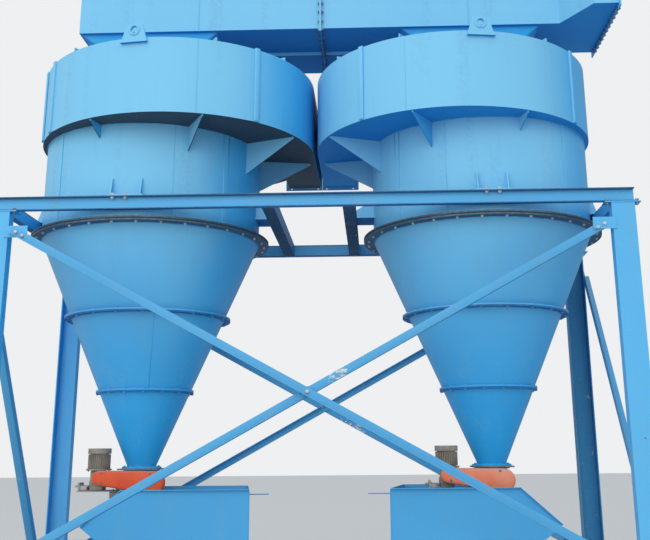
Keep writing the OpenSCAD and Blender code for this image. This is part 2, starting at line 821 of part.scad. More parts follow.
module header_flare() {
    color(paint) {
        translate([0, 0, header_z]) difference() {
            intersection() {
                linear_extrude(height = header_h) polygon(flare_plan(0));
                translate([flare_x, -header_d - flare_w, 0])
                    cube([header_out_x - flare_x - weld, 2 * header_d + flare_w, header_h]);
            }
            translate([0, 0, sheet_t]) linear_extrude(height = header_h - 2 * sheet_t)
                polygon(inset(flare_plan(sheet_t + over), sheet_t));
        }
        duct_flange(header_out_x - header_flange_t, header_front - flare_w, true);
    }
}

column_at(-1, -1);  // column_front_left
column_at(1, -1);  // column_front_right
column_at(-1, 1);  // column_rear_left
column_at(1, 1);  // column_rear_right
long_beam(-1);  // beam_front
long_beam(1);  // beam_rear
cross_beam(-1, column_x, beam_w);  // beam_side_left
cross_beam(1, column_x, beam_w);  // beam_side_right
cross_beam(-1, inner_beam_x, inner_beam_w);  // beam_inner_left
cross_beam(1, inner_beam_x, inner_beam_w);  // beam_inner_right
rising_brace(-1);  // brace_front_rising
falling_brace(-1);  // brace_front_falling
rising_brace(1);  // brace_rear_rising
falling_brace(1);  // brace_rear_falling
side_brace(-1);  // brace_side_left
side_brace(1);  // brace_side_right
scroll(-1);  // scroll_left
scroll(1);  // scroll_right
lugs(-1);  // lugs_left
lugs(1);  // lugs_right
roof(-1);  // roof_left
roof(1);  // roof_right
barrel(-1);  // barrel_left
barrel(1);  // barrel_right
gasket(-1);  // gasket_left
gasket(1);  // gasket_right
cone_upper(-1);  // cone_upper_left
cone_upper(1);  // cone_upper_right
cone_middle(-1);  // cone_middle_left
cone_middle(1);  // cone_middle_right
cone_lower(-1);  // cone_lower_left
cone_lower(1);  // cone_lower_right
outlet(-1);  // outlet_left
outlet(1);  // outlet_right
transition(-1);  // transition_left
transition(1);  // transition_right
valve(-1);  // valve_left
valve(1);  // valve_right
gearmotor(-1);  // gearmotor_left
gearmotor(1);  // gearmotor_right
guard(-1);  // guard_left
guard(1);  // guard_right
hopper(-1);  // hopper_left
hopper(1);  // hopper_right
stand(-1);  // stand_left
stand(1);  // stand_right
header_left();
header_right();
header_flare();
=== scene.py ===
# %% [markdown]
# # A twin cyclone separator, dressed
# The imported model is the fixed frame: its sheets, sections and housings have the right shape and size.
# What is still missing is what a painter and a fitter leave behind: paint with dust and chips, bolts and
# nuts, weld beads, sheet seams and the small parts of the drives. Each of these is made below, one at a time.

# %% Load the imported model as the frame
import json
import math
import bpy
from mathutils import Matrix, Vector


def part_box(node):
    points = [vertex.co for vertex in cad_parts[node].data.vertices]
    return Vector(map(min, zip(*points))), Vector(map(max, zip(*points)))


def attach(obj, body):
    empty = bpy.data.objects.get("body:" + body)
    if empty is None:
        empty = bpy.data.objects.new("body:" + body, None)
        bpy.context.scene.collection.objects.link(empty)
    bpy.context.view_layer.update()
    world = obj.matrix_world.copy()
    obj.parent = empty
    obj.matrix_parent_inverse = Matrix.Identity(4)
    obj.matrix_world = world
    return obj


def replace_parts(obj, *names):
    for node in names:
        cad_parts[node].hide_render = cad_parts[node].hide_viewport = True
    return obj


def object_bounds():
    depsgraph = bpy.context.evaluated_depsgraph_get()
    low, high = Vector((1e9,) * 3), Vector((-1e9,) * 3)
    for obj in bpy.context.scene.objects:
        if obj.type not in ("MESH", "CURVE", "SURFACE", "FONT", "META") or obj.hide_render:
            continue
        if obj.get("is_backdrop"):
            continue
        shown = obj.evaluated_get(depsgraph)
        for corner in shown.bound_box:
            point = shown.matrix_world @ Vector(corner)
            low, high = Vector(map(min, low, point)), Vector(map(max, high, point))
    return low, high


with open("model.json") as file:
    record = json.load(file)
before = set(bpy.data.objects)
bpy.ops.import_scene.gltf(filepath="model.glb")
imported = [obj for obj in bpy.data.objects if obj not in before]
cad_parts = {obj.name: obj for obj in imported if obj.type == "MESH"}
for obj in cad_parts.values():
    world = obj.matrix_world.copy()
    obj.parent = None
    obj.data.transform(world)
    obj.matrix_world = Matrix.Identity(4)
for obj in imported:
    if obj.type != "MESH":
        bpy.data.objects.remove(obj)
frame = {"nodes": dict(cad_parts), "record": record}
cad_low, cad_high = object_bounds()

nodes = frame["nodes"]
print("frame:", len(nodes), "nodes, box", [round(v, 3) for v in (*cad_low, *cad_high)])

# %% [markdown]
# ## Where the photographer stood
# The camera was found by fitting a pinhole camera to level, upright and round things: the beam, the columns
# and the flange rings. It stands 1.55 m above the floor, looks up by 15.5 degrees, and its optical centre lies
# a little above and to the right of the picture's middle, which Blender calls lens shift.

# %% Camera
YAW, TILT, ROLL = -0.0298, 0.27, -0.0083
FOCAL_PX, WIDTH_PX, HEIGHT_PX = 946.1, 650, 540
CENTRE_PX = (345, 190)
EYE = (0.4906, -7.9311, 1.55)
ahead = Vector((math.sin(YAW) * math.cos(TILT), math.cos(YAW) * math.cos(TILT), math.sin(TILT)))
across = Vector((math.cos(YAW), -math.sin(YAW), 0))
upward = across.cross(ahead)
right = math.cos(ROLL) * across + math.sin(ROLL) * upward
top = math.cos(ROLL) * upward - math.sin(ROLL) * across

lens = bpy.data.cameras.new("camera")
lens.sensor_width = 36
lens.lens = FOCAL_PX * lens.sensor_width / WIDTH_PX
lens.shift_x = (WIDTH_PX / 2 - CENTRE_PX[0]) / WIDTH_PX
lens.shift_y = (CENTRE_PX[1] - HEIGHT_PX / 2) / WIDTH_PX
camera = bpy.data.objects.new("camera", lens)
bpy.context.scene.collection.objects.link(camera)
camera.matrix_world = Matrix.Translation(EYE) @ Matrix((right, top, -ahead)).transposed().to_4x4()
bpy.context.scene.camera = camera
print("camera:", round(lens.lens, 2), "mm, shift", round(lens.shift_x, 4), round(lens.shift_y, 4))

# %% [markdown]
# ## Shader maths in plain Python
# A material is a web of nodes, which is hard to read. Here one small class wraps an output socket, so that
# `0.3 + 0.2 * dust` adds the two Math nodes by itself, and one method adds any other node.

# %% A socket that can be reckoned with
class Wire:
    def __init__(self, finish, socket):
        self.finish, self.socket = finish, socket

    def maths(self, operation, *values):
        return self.finish.node("ShaderNodeMath", {"operation": operation}, dict(enumerate(values)))

    def __add__(self, other): return self.maths("ADD", self, other)
    def __radd__(self, other): return self.maths("ADD", other, self)
    def __sub__(self, other): return self.maths("SUBTRACT", self, other)
    def __rsub__(self, other): return self.maths("SUBTRACT", other, self)
    def __mul__(self, other): return self.maths("MULTIPLY", self, other)
    def __rmul__(self, other): return self.maths("MULTIPLY", other, self)
    def __truediv__(self, other): return self.maths("DIVIDE", self, other)

    def between(self, low, high):
        return self.finish.node("ShaderNodeMapRange", {"interpolation_type": "SMOOTHSTEP"},
                                {"Value": self, "From Min": low, "From Max": high})


class Finish:
    def __init__(self, name):
        self.material = bpy.data.materials.new(name)
        self.material.use_nodes = True
        self.tree = self.material.node_tree
        self.shader = self.tree.nodes["Principled BSDF"]
        self.place = self.node("ShaderNodeTexCoord", output="Object")

    def node(self, kind, settings=None, values=None, output=0):
        made = self.tree.nodes.new(kind)
        for key, value in (settings or {}).items():
            setattr(made, key, value)
        for key, value in (values or {}).items():
            self.plug(made.inputs[key], value)
        return Wire(self, made.outputs[output])

    def plug(self, socket, value):
        if isinstance(value, Wire):
            self.tree.links.new(value.socket, socket)
        else:
            socket.default_value = value

    def wear(self, **sockets):
        for name, value in sockets.items():
            self.plug(self.shader.inputs[name.replace("_", " ")], value)
        return self.material

    def mix(self, factor, a, b):
        return self.node("ShaderNodeMix", {"data_type": "RGBA"}, {0: factor, 6: a, 7: b}, output=2)

    def cloud(self, scale, detail=3.0, stretch=(1, 1, 1), shift=0.0):
        place = self.node("ShaderNodeMapping", None, {"Vector": self.place, "Location": (shift,) * 3, "Scale": stretch})
        return self.node("ShaderNodeTexNoise", None, {"Vector": place, "Scale": scale, "Detail": detail})

    def facing(self, axis):
        normal = self.node("ShaderNodeNewGeometry", output="Normal")
        return self.node("ShaderNodeSeparateXYZ", None, {0: normal}, output=axis)

    def bump(self, height, distance, under=None):
        values = {"Height": height, "Distance": distance}
        if under:
            values["Normal"] = under
        return self.node("ShaderNodeBump", None, values)


print("shader helpers ready")

# %% [markdown]
# ## Sky-blue gloss paint
# The whole machine wears one enamel. On big rolled sheets it is never quite even: the sheet waves a little
# between its welds, rain draws dust down it, and what faces the sky is dull with dust. The colour grows paler with
# height: partly chalk from sun and rain, and partly a painted sheen for the brighter light on the upper parts. The
# waves are a bump of about a metre's length, the drawn dust a noise stretched along Z, and the fine grain is the
# orange peel of a spray gun. Undersides get a darker, deeper blue, which is painted shade, and faces that look right
# get less of the pale sheen, a painted shade on the side away from the light. The left scroll's underside is darker
# and greyer still. So the paint asks which way a face looks. The transitions get no pale sheen, which paints the
# header's shade on them, and the hoppers are dull all over. Sheets, frame and braces each have a set of amounts:
# how much the sheet waves, above which noise the paint is chipped, and how dusty it is.

# %% Paint for the sheets and for the frame
ENAMEL = (0.030, 0.400, 0.830, 1)
ENAMEL_DEEP = (0.024, 0.365, 0.795, 1)
# Paler blue for the upper parts: partly chalk, partly a painted sheen of the brighter light up there.
ENAMEL_CHALK_AND_SHEEN = (0.205, 0.565, 0.840, 1)
ENAMEL_WORN = (0.140, 0.450, 0.720, 1)
# Deeper, darker blue for undersides: painted shade.
ENAMEL_UNDERSIDE_SHADE = (0.017, 0.262, 0.700, 1)
# Dark grey-blue for the undersides of the left scroll and, as painted shade, of the inner beams.
DARK_UNDERSIDE = (0.042, 0.076, 0.118, 1)
JOINT_DIRT = (0.050, 0.085, 0.120, 1)
JOINT_SHADE = (0.018, 0.120, 0.330, 1)
SCUFF = (0.640, 0.680, 0.700, 1)
# Dark blue that darkens a whole paint; on the inner beams and the rear right column it is painted shade.
DARK_TONE = (0.010, 0.045, 0.100, 1)
DUST = (0.330, 0.350, 0.350, 1)
PRIMER = (0.420, 0.440, 0.440, 1)
RUST = (0.160, 0.060, 0.025, 1)
ON_SHEETS = {"wave": 0.020, "chips": 0.745, "dusty": 0.10, "foot": 0.0, "top": 1.0}
ON_FRAME = {"wave": 0.006, "chips": 0.700, "dusty": 0.25, "foot": 0.50, "top": 0.50}
ON_BRACES = {"wave": 0.006, "chips": 0.690, "dusty": 0.30, "foot": 0.50, "top": 0.50, "darken": 0.18}
SHINE, DARK_TONE_SHINE = 0.15, 0.03
JOINT_BAND = (0.006, 0.009)


def enamel(name, wave, chips, dusty, foot, top, dark_under=0.0, darken=0.0, joints=(), scuffed=None):
    """Foot and top say how much paler the paint is low down and high up, partly chalk and partly painted sheen. Two
    more amounts darken the undersides and the whole paint, which on the inner beams and the rear right column is
    painted shade; joints lists dark flanges as height and colour, and scuffed gives the stretch of X where a sling has
    rubbed."""
    finish = Finish(name)
    patches = finish.cloud(0.8, 3.0)
    drawn = finish.cloud(7.0, 4.0, (1, 1, 0.07), 3.0).between(0.48, 0.72)
    grain = finish.cloud(38.0, 5.0, shift=7.0)
    height = finish.node("ShaderNodeSeparateXYZ", None, {0: finish.place}, output=2)
    colour = finish.mix(patches.between(0.35, 0.65), ENAMEL_DEEP, ENAMEL)
    # Faces that look right, away from the light, get less of the pale sheen: painted shade.
    right_side_shade = finish.facing(0).between(0.45, 0.95)
    # Paler with height, partly chalk and partly painted sheen.
    chalk_and_sheen = (foot + (top - foot) * height.between(1.4, 4.0)) * (0.85 + 0.3 * patches) * (1 - 0.85 * right_side_shade)
    colour = finish.mix(chalk_and_sheen, colour, ENAMEL_CHALK_AND_SHEEN)
    colour = finish.mix(drawn * grain.between(0.35, 0.65) * 0.35, colour, ENAMEL_WORN)
    under = (-1 * finish.facing(2)).between(0.5, 0.9)
    # Undersides turn a darker, deeper blue: painted shade.
    colour = finish.mix(under, colour, ENAMEL_UNDERSIDE_SHADE)
    # Undersides darker and greyer still where asked; on the inner beams this is painted shade.
    colour = finish.mix(dark_under * under * (0.7 + 0.6 * patches), colour, DARK_UNDERSIDE)
    # Darkens the whole paint where asked; on the inner beams and the rear right column this is painted shade.
    if darken:
        colour = finish.mix(darken * (0.8 + 0.4 * grain), colour, DARK_TONE)
    for z, tint in joints:
        off = finish.node("ShaderNodeMath", {"operation": "ABSOLUTE"}, {0: height - z})
        colour = finish.mix((1 - off.between(*JOINT_BAND)) * (0.55 + 0.6 * grain), colour, tint)
    if scuffed:
        along = finish.node("ShaderNodeSeparateXYZ", None, {0: finish.place}, output=0)
        rubbed = along.between(scuffed[0], scuffed[0] + 0.03) * (1 - along.between(scuffed[1] - 0.03, scuffed[1]))
        streaks = finish.cloud(34.0, 4.0, (0.8, 1, 1.6), 23.0).between(0.50, 0.56)
        colour = finish.mix(rubbed * streaks, colour, SCUFF)
    dust = finish.facing(2).between(0.55, 0.95) * (0.35 + 0.5 * grain) + dusty * drawn * grain.between(0.4, 0.7)
    colour = finish.mix(dust, colour, DUST)
    specks = finish.cloud(19.0, 6.0, shift=11.0).between(chips, chips + 0.03)
    deep = finish.cloud(43.0, 4.0, shift=17.0).between(0.52, 0.60)
    colour = finish.mix(specks, colour, PRIMER)
    colour = finish.mix(specks * deep, colour, RUST)
    relief = finish.bump(finish.cloud(1.3, 1.0, (1, 1, 0.6), 5.0), wave)
    relief = finish.bump(finish.cloud(240.0, 2.0), 0.0004, relief)
    shine = DARK_TONE_SHINE if darken > 0.5 else SHINE
    rough = 0.32 + 0.12 * patches + 0.35 * dust + 0.2 * specks + 0.3 * under
    return finish.wear(Base_Color=colour, Roughness=rough, Normal=relief, Specular_IOR_Level=shine)


finishes = {
    "plant_blue": enamel("plant_blue", **ON_SHEETS),
    "frame_blue": enamel("frame_blue", **ON_FRAME),
}
# The left scroll: its undersides darker and greyer.
dark_under_blue = enamel("dark_under_blue", **ON_SHEETS, dark_under=1.0)
# The transitions: no pale sheen, which paints the header's shade on them.
shaded_blue = enamel("shaded_blue", wave=0.010, chips=0.800, dusty=0.05, foot=0.0, top=-0.2)
hopper_blue = enamel("hopper_blue", wave=0.010, chips=0.740, dusty=0.10, foot=0.35, top=0.35, darken=0.15)
brace_blue = enamel("brace_blue", **ON_BRACES)
# The rear right column: less pale and darker as a whole, which is painted shade.
rear_shade_blue = enamel("rear_shade_blue", **ON_BRACES | {"foot": 0.30, "top": 0.30, "darken": 0.50})
# The inner beams: no pale sheen, darker undersides and a darker whole, all painted shade.
shaded_frame = enamel("shaded_frame", **ON_FRAME | {"foot": 0.0, "top": 0.0}, dark_under=0.8, darken=0.55)
beam_low, beam_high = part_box("beam_front")
# The beams' upper edge is dark with dirt; the dark band along their lower edge is painted shade.
beam_blue = enamel("beam_blue", **ON_FRAME, joints=((beam_high.z, JOINT_DIRT), (beam_low.z, JOINT_SHADE)))
print("paints:", list(finishes))

# %% [markdown]
# ## Bare and grey metal, orange paint, rubber
# The valves are grey cast iron, the motors a dusty grey-beige enamel, the chain guards an orange that the sun has
# bleached in patches. Bolts are zinc plated: bright in some patches, dull and a little brown in others.

# %% The other finishes
def cast(name, light, dark, rough, metal, grit):
    finish = Finish(name)
    patches = finish.cloud(9.0, 4.0)
    grain = finish.cloud(70.0, 5.0, shift=2.0)
    dust = finish.facing(2).between(0.4, 0.95) * (0.3 + 0.5 * grain)
    colour = finish.mix(patches.between(0.35, 0.7), light, dark)
    colour = finish.mix(dust, colour, DUST)
    return finish.wear(Base_Color=colour, Metallic=metal * (1 - dust), Roughness=rough + 0.2 * grain + 0.2 * dust,
                       Normal=finish.bump(grain, grit))


def bleached(name, deep, pale):
    finish = Finish(name)
    patches = finish.cloud(3.2, 3.0, shift=4.0)
    grain = finish.cloud(55.0, 5.0)
    dust = finish.facing(2).between(0.2, 0.95) * (0.35 + 0.4 * grain)
    colour = finish.mix(patches.between(0.38, 0.66), deep, pale)
    colour = finish.mix(dust, colour, DUST)
    chip = finish.cloud(24.0, 6.0, shift=9.0).between(0.72, 0.75)
    colour = finish.mix(chip, colour, PRIMER)
    return finish.wear(Base_Color=colour, Roughness=0.42 + 0.2 * grain + 0.2 * dust,
                       Normal=finish.bump(finish.cloud(5.0, 2.0), 0.006))


def rubber(name):
    finish = Finish(name)
    grain = finish.cloud(60.0, 5.0)
    dust = finish.cloud(6.0, 3.0).between(0.45, 0.75)
    colour = finish.mix(dust * 0.6, (0.035, 0.026, 0.022, 1), (0.110, 0.090, 0.075, 1))
    return finish.wear(Base_Color=colour, Roughness=0.8 + 0.15 * grain, Normal=finish.bump(grain, 0.001))


finishes["zinc_grey"] = cast("zinc_grey", (0.200, 0.210, 0.210, 1), (0.110, 0.115, 0.120, 1), 0.50, 0.25, 0.0015)
finishes["motor_grey"] = cast("motor_grey", (0.350, 0.315, 0.265, 1), (0.215, 0.192, 0.162, 1), 0.50, 0.0, 0.0010)
finishes["guard_orange"] = bleached("guard_orange", (0.740, 0.068, 0.010, 1), (0.800, 0.105, 0.024, 1))
finishes["gasket"] = rubber("gasket")
faded_orange = bleached("faded_orange", (0.860, 0.180, 0.070, 1), (0.860, 0.300, 0.180, 1))
bright = cast("bright_bolt", (0.600, 0.610, 0.610, 1), (0.420, 0.420, 0.410, 1), 0.34, 0.30, 0.0003)
plated = cast("plated_bolt", (0.300, 0.305, 0.300, 1), (0.120, 0.105, 0.090, 1), 0.38, 0.55, 0.0004)
print("finishes:", list(finishes), "and", faded_orange.name, bright.name, plated.name)

# %% Every node of the frame wears its slot's finish
slot_of = {row["node"]: row["material_slot"] for row in frame["record"]["subparts"]}
for name, node in nodes.items():
    for place in node.material_slots:
        place.material = finishes[slot_of[name]]
nodes["guard_right"].material_slots[0].material = faded_orange
nodes["scroll_left"].material_slots[0].material = dark_under_blue
nodes["column_rear_right"].material_slots[0].material = rear_shade_blue
for name in ("beam_front", "beam_rear", "beam_side_left", "beam_side_right"):
    nodes[name].material_slots[0].material = beam_blue
for side in ("left", "right"):
    nodes[f"transition_{side}"].material_slots[0].material = shaded_blue
    nodes[f"hopper_{side}"].material_slots[0].material = hopper_blue
    nodes[f"beam_inner_{side}"].material_slots[0].material = shaded_frame
print("dressed", len(slot_of), "nodes")

# %% [markdown]
# ## Small helpers for pieces
# An operator works on everything that is selected, so each step first selects one thing alone. What repeats is
# modelled once and set out as copies, and a finished piece has its place in its mesh, as a CAD node has.

# %% Helpers
def is_top(face): return face.normal.z > 0.9
def is_end(face): return abs(face.normal.z) > 0.9
def is_any(face): return True


def inset(thickness, depth):
    return lambda: bpy.ops.mesh.inset(thickness=thickness, depth=depth)


def only(*pieces):
    bpy.ops.object.select_all(action="DESELECT")
    for piece in pieces:
        piece.select_set(True)
    bpy.context.view_layer.objects.active = pieces[0]


def shape(piece, wanted, *steps):
    """Runs edit-mode steps on the faces that the test picks."""
    only(piece)
    mesh = piece.data
    mesh.vertices.foreach_set("select", [False] * len(mesh.vertices))
    mesh.edges.foreach_set("select", [False] * len(mesh.edges))
    mesh.polygons.foreach_set("select", [bool(wanted(face)) for face in mesh.polygons])
    bpy.ops.object.mode_set(mode="EDIT")
    bpy.ops.mesh.select_mode(type="FACE")
    for step in steps:
        step()
    bpy.ops.object.mode_set(mode="OBJECT")


def joined(pieces):
    only(*pieces)
    if len(pieces) > 1:
        bpy.ops.object.join()
    piece = bpy.context.view_layer.objects.active
    only(piece)
    bpy.ops.object.transform_apply(location=True, rotation=True, scale=True)
    return piece


def add(piece, name, material, slot, smooth=35):
    only(piece)
    piece.name = name
    piece.data.name = name
    piece.data.materials.clear()
    piece.data.materials.append(material)
    bpy.ops.object.shade_smooth_by_angle(angle=math.radians(smooth))
    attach(piece, "root")
    return piece


def set_out(master, spots):
    """Copies a master to each spot, joins the copies and removes the master."""
    copies = []
    for place in spots:
        copy = master.copy()
        copy.data = master.data.copy()
        copy.matrix_world = place
        bpy.context.scene.collection.objects.link(copy)
        copies.append(copy)
    bpy.data.objects.remove(master)
    return joined(copies)


def spot(place, axis=(0, 0, 1), spin=0.0):
    turn = Vector(axis).to_track_quat("Z", "Y").to_matrix().to_4x4()
    return Matrix.Translation(place) @ turn @ Matrix.Rotation(spin, 4, "Z")


def round_about(x, radius, z, count, first=0.0):
    for i in range(count):
        turn = first + 2 * math.pi * i / count
        yield spot((x + radius * math.sin(turn), -radius * math.cos(turn), z), spin=turn)


def cylinder(radius, depth, place=(0, 0, 0), sides=24, rotation=(0, 0, 0)):
    bpy.ops.object.select_all(action="DESELECT")
    bpy.ops.mesh.primitive_cylinder_add(vertices=sides, radius=radius, depth=depth, location=place, rotation=rotation)
    return bpy.context.object


def torus(radius, thick, segments, sides, place=(0, 0, 0)):
    bpy.ops.object.select_all(action="DESELECT")
    bpy.ops.mesh.primitive_torus_add(location=place, major_radius=radius, minor_radius=thick,
                                     major_segments=segments, minor_segments=sides)
    return bpy.context.object


def flattened(ring, share):
    shape(ring, is_any, lambda: bpy.ops.transform.resize(value=(1, 1, share)))
    return ring


def block(size, place=(0, 0, 0), rotation=(0, 0, 0)):
    bpy.ops.object.select_all(action="DESELECT")
    bpy.ops.mesh.primitive_cube_add(size=1, location=place, rotation=rotation, scale=size)
    piece = bpy.context.object
    bpy.ops.object.transform_apply(location=False, rotation=False, scale=True)
    return piece


def rounded(piece, width, segments=2, angle=30):
    only(piece)
    bevel = piece.modifiers.new("edges", "BEVEL")
    bevel.width = width
    bevel.segments = segments
    bevel.limit_method = "ANGLE"
    bevel.angle_limit = math.radians(angle)
    bpy.ops.object.modifier_apply(modifier=bevel.name)
    return piece


print("helpers ready")

# %% [markdown]
# ## One bolt
# A hexagon head and a nut with a chamfer, two washers and the end of the thread. The chamfer comes from an inset
# of the head's outer face with a little depth. The bolt stands on the origin, head up, gripping what is between.

# %% Bolt
def bolt(across_flats, grip, tail=True):
    corner = across_flats / 2 / math.cos(math.pi / 6)
    head, washer = 0.42 * across_flats, 0.10 * across_flats
    lift = grip / 2 + washer
    parts = []
    for side in (1, -1):
        hexagon = cylinder(corner, head, (0, 0, side * (lift + head / 2)), sides=6)
        shape(hexagon, lambda face: face.normal.z * side > 0.9, inset(0.14 * across_flats, 0.06 * across_flats))
        parts += [hexagon, cylinder(0.58 * across_flats, washer, (0, 0, side * (lift - washer / 2)), sides=12)]
    if tail:
        foot = (0, 0, -(lift + head + 0.1 * across_flats))
        thread = cylinder(0.27 * across_flats, 0.35 * across_flats, foot, sides=8)
        shape(thread, lambda face: face.normal.z < -0.9, inset(0.05 * across_flats, 0.04 * across_flats))
        parts.append(thread)
    return joined(parts)


M10, M12, M16 = 0.017, 0.019, 0.024
print("bolt sizes across flats:", M10, M12, M16)

# %% [markdown]
# ## Bolts of the cyclones' joints
# Each cyclone has four round joints. The upper one, with the dark gasket, has a bolt about every 0.19 m; the
# others have fewer and smaller ones, painted over with the rest. All sit midway on the flange's rim. The cones and
# barrels get paints of their own: both flanges of the upper joint are dark with what seeps out of it, and the dark
# band on the lower flange of the second and third joints is painted shade under the rim.

# %% Ring joints
AXIS = (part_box("gasket_right")[0].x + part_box("gasket_right")[1].x) / 2
FLANGE, GASKET = 0.012, 0.010
UPPER_RIM, LOWER_RIM = 0.011, 0.006
JOINT_Z = (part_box("gasket_right")[0].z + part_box("gasket_right")[1].z) / 2
SECOND_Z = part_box("cone_upper_right")[0].z
THIRD_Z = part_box("cone_middle_right")[0].z
NECK_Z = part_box("cone_lower_right")[0].z
BARREL_R, NECK_R = 0.915, 0.107
SIDES = (("left", -1), ("right", 1))


def cone_r(z):
    return NECK_R + (BARREL_R - NECK_R) * (z - NECK_Z) / (JOINT_Z - NECK_Z)


cone_blue = enamel("cone_blue", **ON_SHEETS, joints=(
    (JOINT_Z - UPPER_RIM, JOINT_DIRT), (SECOND_Z - LOWER_RIM, JOINT_SHADE), (THIRD_Z - LOWER_RIM, JOINT_SHADE)))
barrel_blue = enamel("barrel_blue", **ON_SHEETS, joints=((JOINT_Z + UPPER_RIM, JOINT_DIRT),))
for side in ("left", "right"):
    nodes[f"barrel_{side}"].material_slots[0].material = barrel_blue
    for part in ("upper", "middle", "lower"):
        nodes[f"cone_{part}_{side}"].material_slots[0].material = cone_blue

ring_joints = [
    ("upper", M12, BARREL_R + 0.045, JOINT_Z, 2 * FLANGE + GASKET, 32),
    ("second", M10, cone_r(SECOND_Z) + 0.032, SECOND_Z, 2 * FLANGE, 20),
    ("third", M10, cone_r(THIRD_Z) + 0.015, THIRD_Z, 2 * FLANGE, 16),
    ("neck", M10, NECK_R + 0.030, NECK_Z, 2 * FLANGE, 8),
]
for side, sign in SIDES:
    for where, size, radius, z, grip, count in ring_joints:
        bolts = set_out(bolt(size, grip, where == "upper"), round_about(sign * AXIS, radius, z, count, math.pi / count))
        paint, slot = (bright, "zinc_grey") if where == "upper" else (finishes["plant_blue"], "plant_blue")
        add(bolts, f"bolts_{where}_joint_{side}", paint, slot)
print("ring joints:", [(row[0], row[5]) for row in ring_joints])

# %% [markdown]
# ## Bolts of the header
# The header's two halves meet in a bolted frame of flat bar near the middle, and its open end has another. A
# rectangle of bolts runs round each, about every 85 mm.

# %% Header bolts
def round_frame(x, y0, y1, z0, z1, step):
    for a, b, fixed, along_y in ((y0, y1, z0, True), (y0, y1, z1, True), (z0, z1, y0, False), (z0, z1, y1, False)):
        count = max(2, round((b - a) / step))
        for i in range(count + (0 if along_y else -1)):
            t = a + (b - a) * ((i if along_y else i + 1) / count)
            yield spot((x, t, fixed) if along_y else (x, fixed, t), axis=(-1, 0, 0))
        if along_y:
            yield spot((x, b, fixed), axis=(-1, 0, 0))


HEADER_LOW, HEADER_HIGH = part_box("header_left")
RIM, HEADER_STEP = 0.040, 0.085
HEADER_D = HEADER_HIGH.y - HEADER_LOW.y - 2 * RIM
header_y0, header_y1 = HEADER_LOW.y + RIM / 2, HEADER_HIGH.y - RIM / 2
header_z0, header_z1 = HEADER_LOW.z + RIM / 2, HEADER_HIGH.z - RIM / 2
middle_joint = list(round_frame(HEADER_HIGH.x, header_y0, header_y1, header_z0, header_z1, HEADER_STEP))
add(set_out(bolt(M16, 0.016), middle_joint), "bolts_header_joint", plated, "zinc_grey")

END_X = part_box("header_flare")[1].x
end_y0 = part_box("header_flare")[0].y + RIM / 2
end_y1 = end_y0 + HEADER_D + RIM
open_end = [m for m in round_frame(END_X - 0.004, end_y0, end_y1, header_z0, header_z1, HEADER_STEP)
            if min(abs(m.translation.y - end_y0), abs(m.translation.y - end_y1)) > 0.01
            or min(abs(m.translation.z - header_z0), abs(m.translation.z - header_z1)) > 0.01]
add(set_out(bolt(M16, 0.008), open_end), "bolts_header_end", plated, "zinc_grey")
print("header joint:", len(middle_joint), "bolts, open end:", len(open_end), "with its four corner holes left free")

# %% [markdown]
# ## Bolts of the frame
# The barrels' seats are bolted through the beam's upper flange, the beams sit on cap plates on the columns,
# the braces are bolted to corner plates and to each other, and each base plate is held by four anchors.

# %% Frame bolts
BEAM_TOP, BEAM_UNDER = beam_high.z, beam_low.z
FACE_Y = beam_low.y
COLUMN_X = (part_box("beam_side_right")[0].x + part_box("beam_side_right")[1].x) / 2
BEAM_T, SEAT_T, CAP_T = 0.007, 0.012, 0.010
FLANGE_Y = FACE_Y + 0.022
seat_bolts, cap_bolts, caps = [], [], []
for sign in (-1, 1):
    for front in (1, -1):
        for dx in ((-0.097, 0.003) if sign < 0 else (-0.052, 0.048)):
            seat_bolts.append(spot((sign * AXIS + dx, front * FLANGE_Y, BEAM_TOP + (SEAT_T - BEAM_T) / 2)))
        for dx in (-0.112, 0.112):
            cap_bolts.append(spot((sign * COLUMN_X + dx, front * FLANGE_Y, BEAM_UNDER + (BEAM_T - CAP_T) / 2)))
        middle = (sign * COLUMN_X, front * (FACE_Y + 0.050), BEAM_UNDER - CAP_T / 2)
        caps.append(block((0.270, 0.110, CAP_T), middle))
add(set_out(bolt(M16, SEAT_T + BEAM_T), seat_bolts), "bolts_seats", bright, "zinc_grey")
add(set_out(bolt(M16, BEAM_T + CAP_T), cap_bolts), "bolts_caps", plated, "zinc_grey")
add(rounded(joined(caps), 0.002), "cap_plates", finishes["frame_blue"], "frame_blue")
print("seats:", len(seat_bolts), "caps:", len(cap_bolts))

# %% [markdown]
# ## Slimmer braces
# The braces of the photograph show a face of about 60 mm where the frame has 80 mm. So each brace is drawn again
# from a merged copy: the free edges of its two legs are moved inwards and the edges rounded, as rolled steel is.
# The rear pair hangs 20 to 55 mm lower, and its rising one is turned so that its second leg lies on top. Where
# slings have rubbed, two of the braces are scuffed to the primer.

# %% Braces
def skin(name, *steps):
    """A merged copy of a node, free of the edges between faces that lie in one plane."""
    piece = nodes[name].copy()
    piece.data = nodes[name].data.copy()
    bpy.context.scene.collection.objects.link(piece)
    shape(piece, is_any, lambda: bpy.ops.mesh.remove_doubles(threshold=0.00002),
          lambda: bpy.ops.mesh.dissolve_limited(angle_limit=math.radians(1)), *steps)
    return piece


def nudge(piece, wanted, shift):
    only(piece)
    bpy.context.tool_settings.mesh_select_mode = (True, False, False)
    mesh = piece.data
    mesh.polygons.foreach_set("select", [False] * len(mesh.polygons))
    mesh.edges.foreach_set("select", [False] * len(mesh.edges))
    mesh.vertices.foreach_set("select", [bool(wanted(point.co)) for point in mesh.vertices])
    bpy.ops.object.mode_set(mode="EDIT")
    bpy.ops.transform.translate(value=shift)
    bpy.ops.object.mode_set(mode="OBJECT")


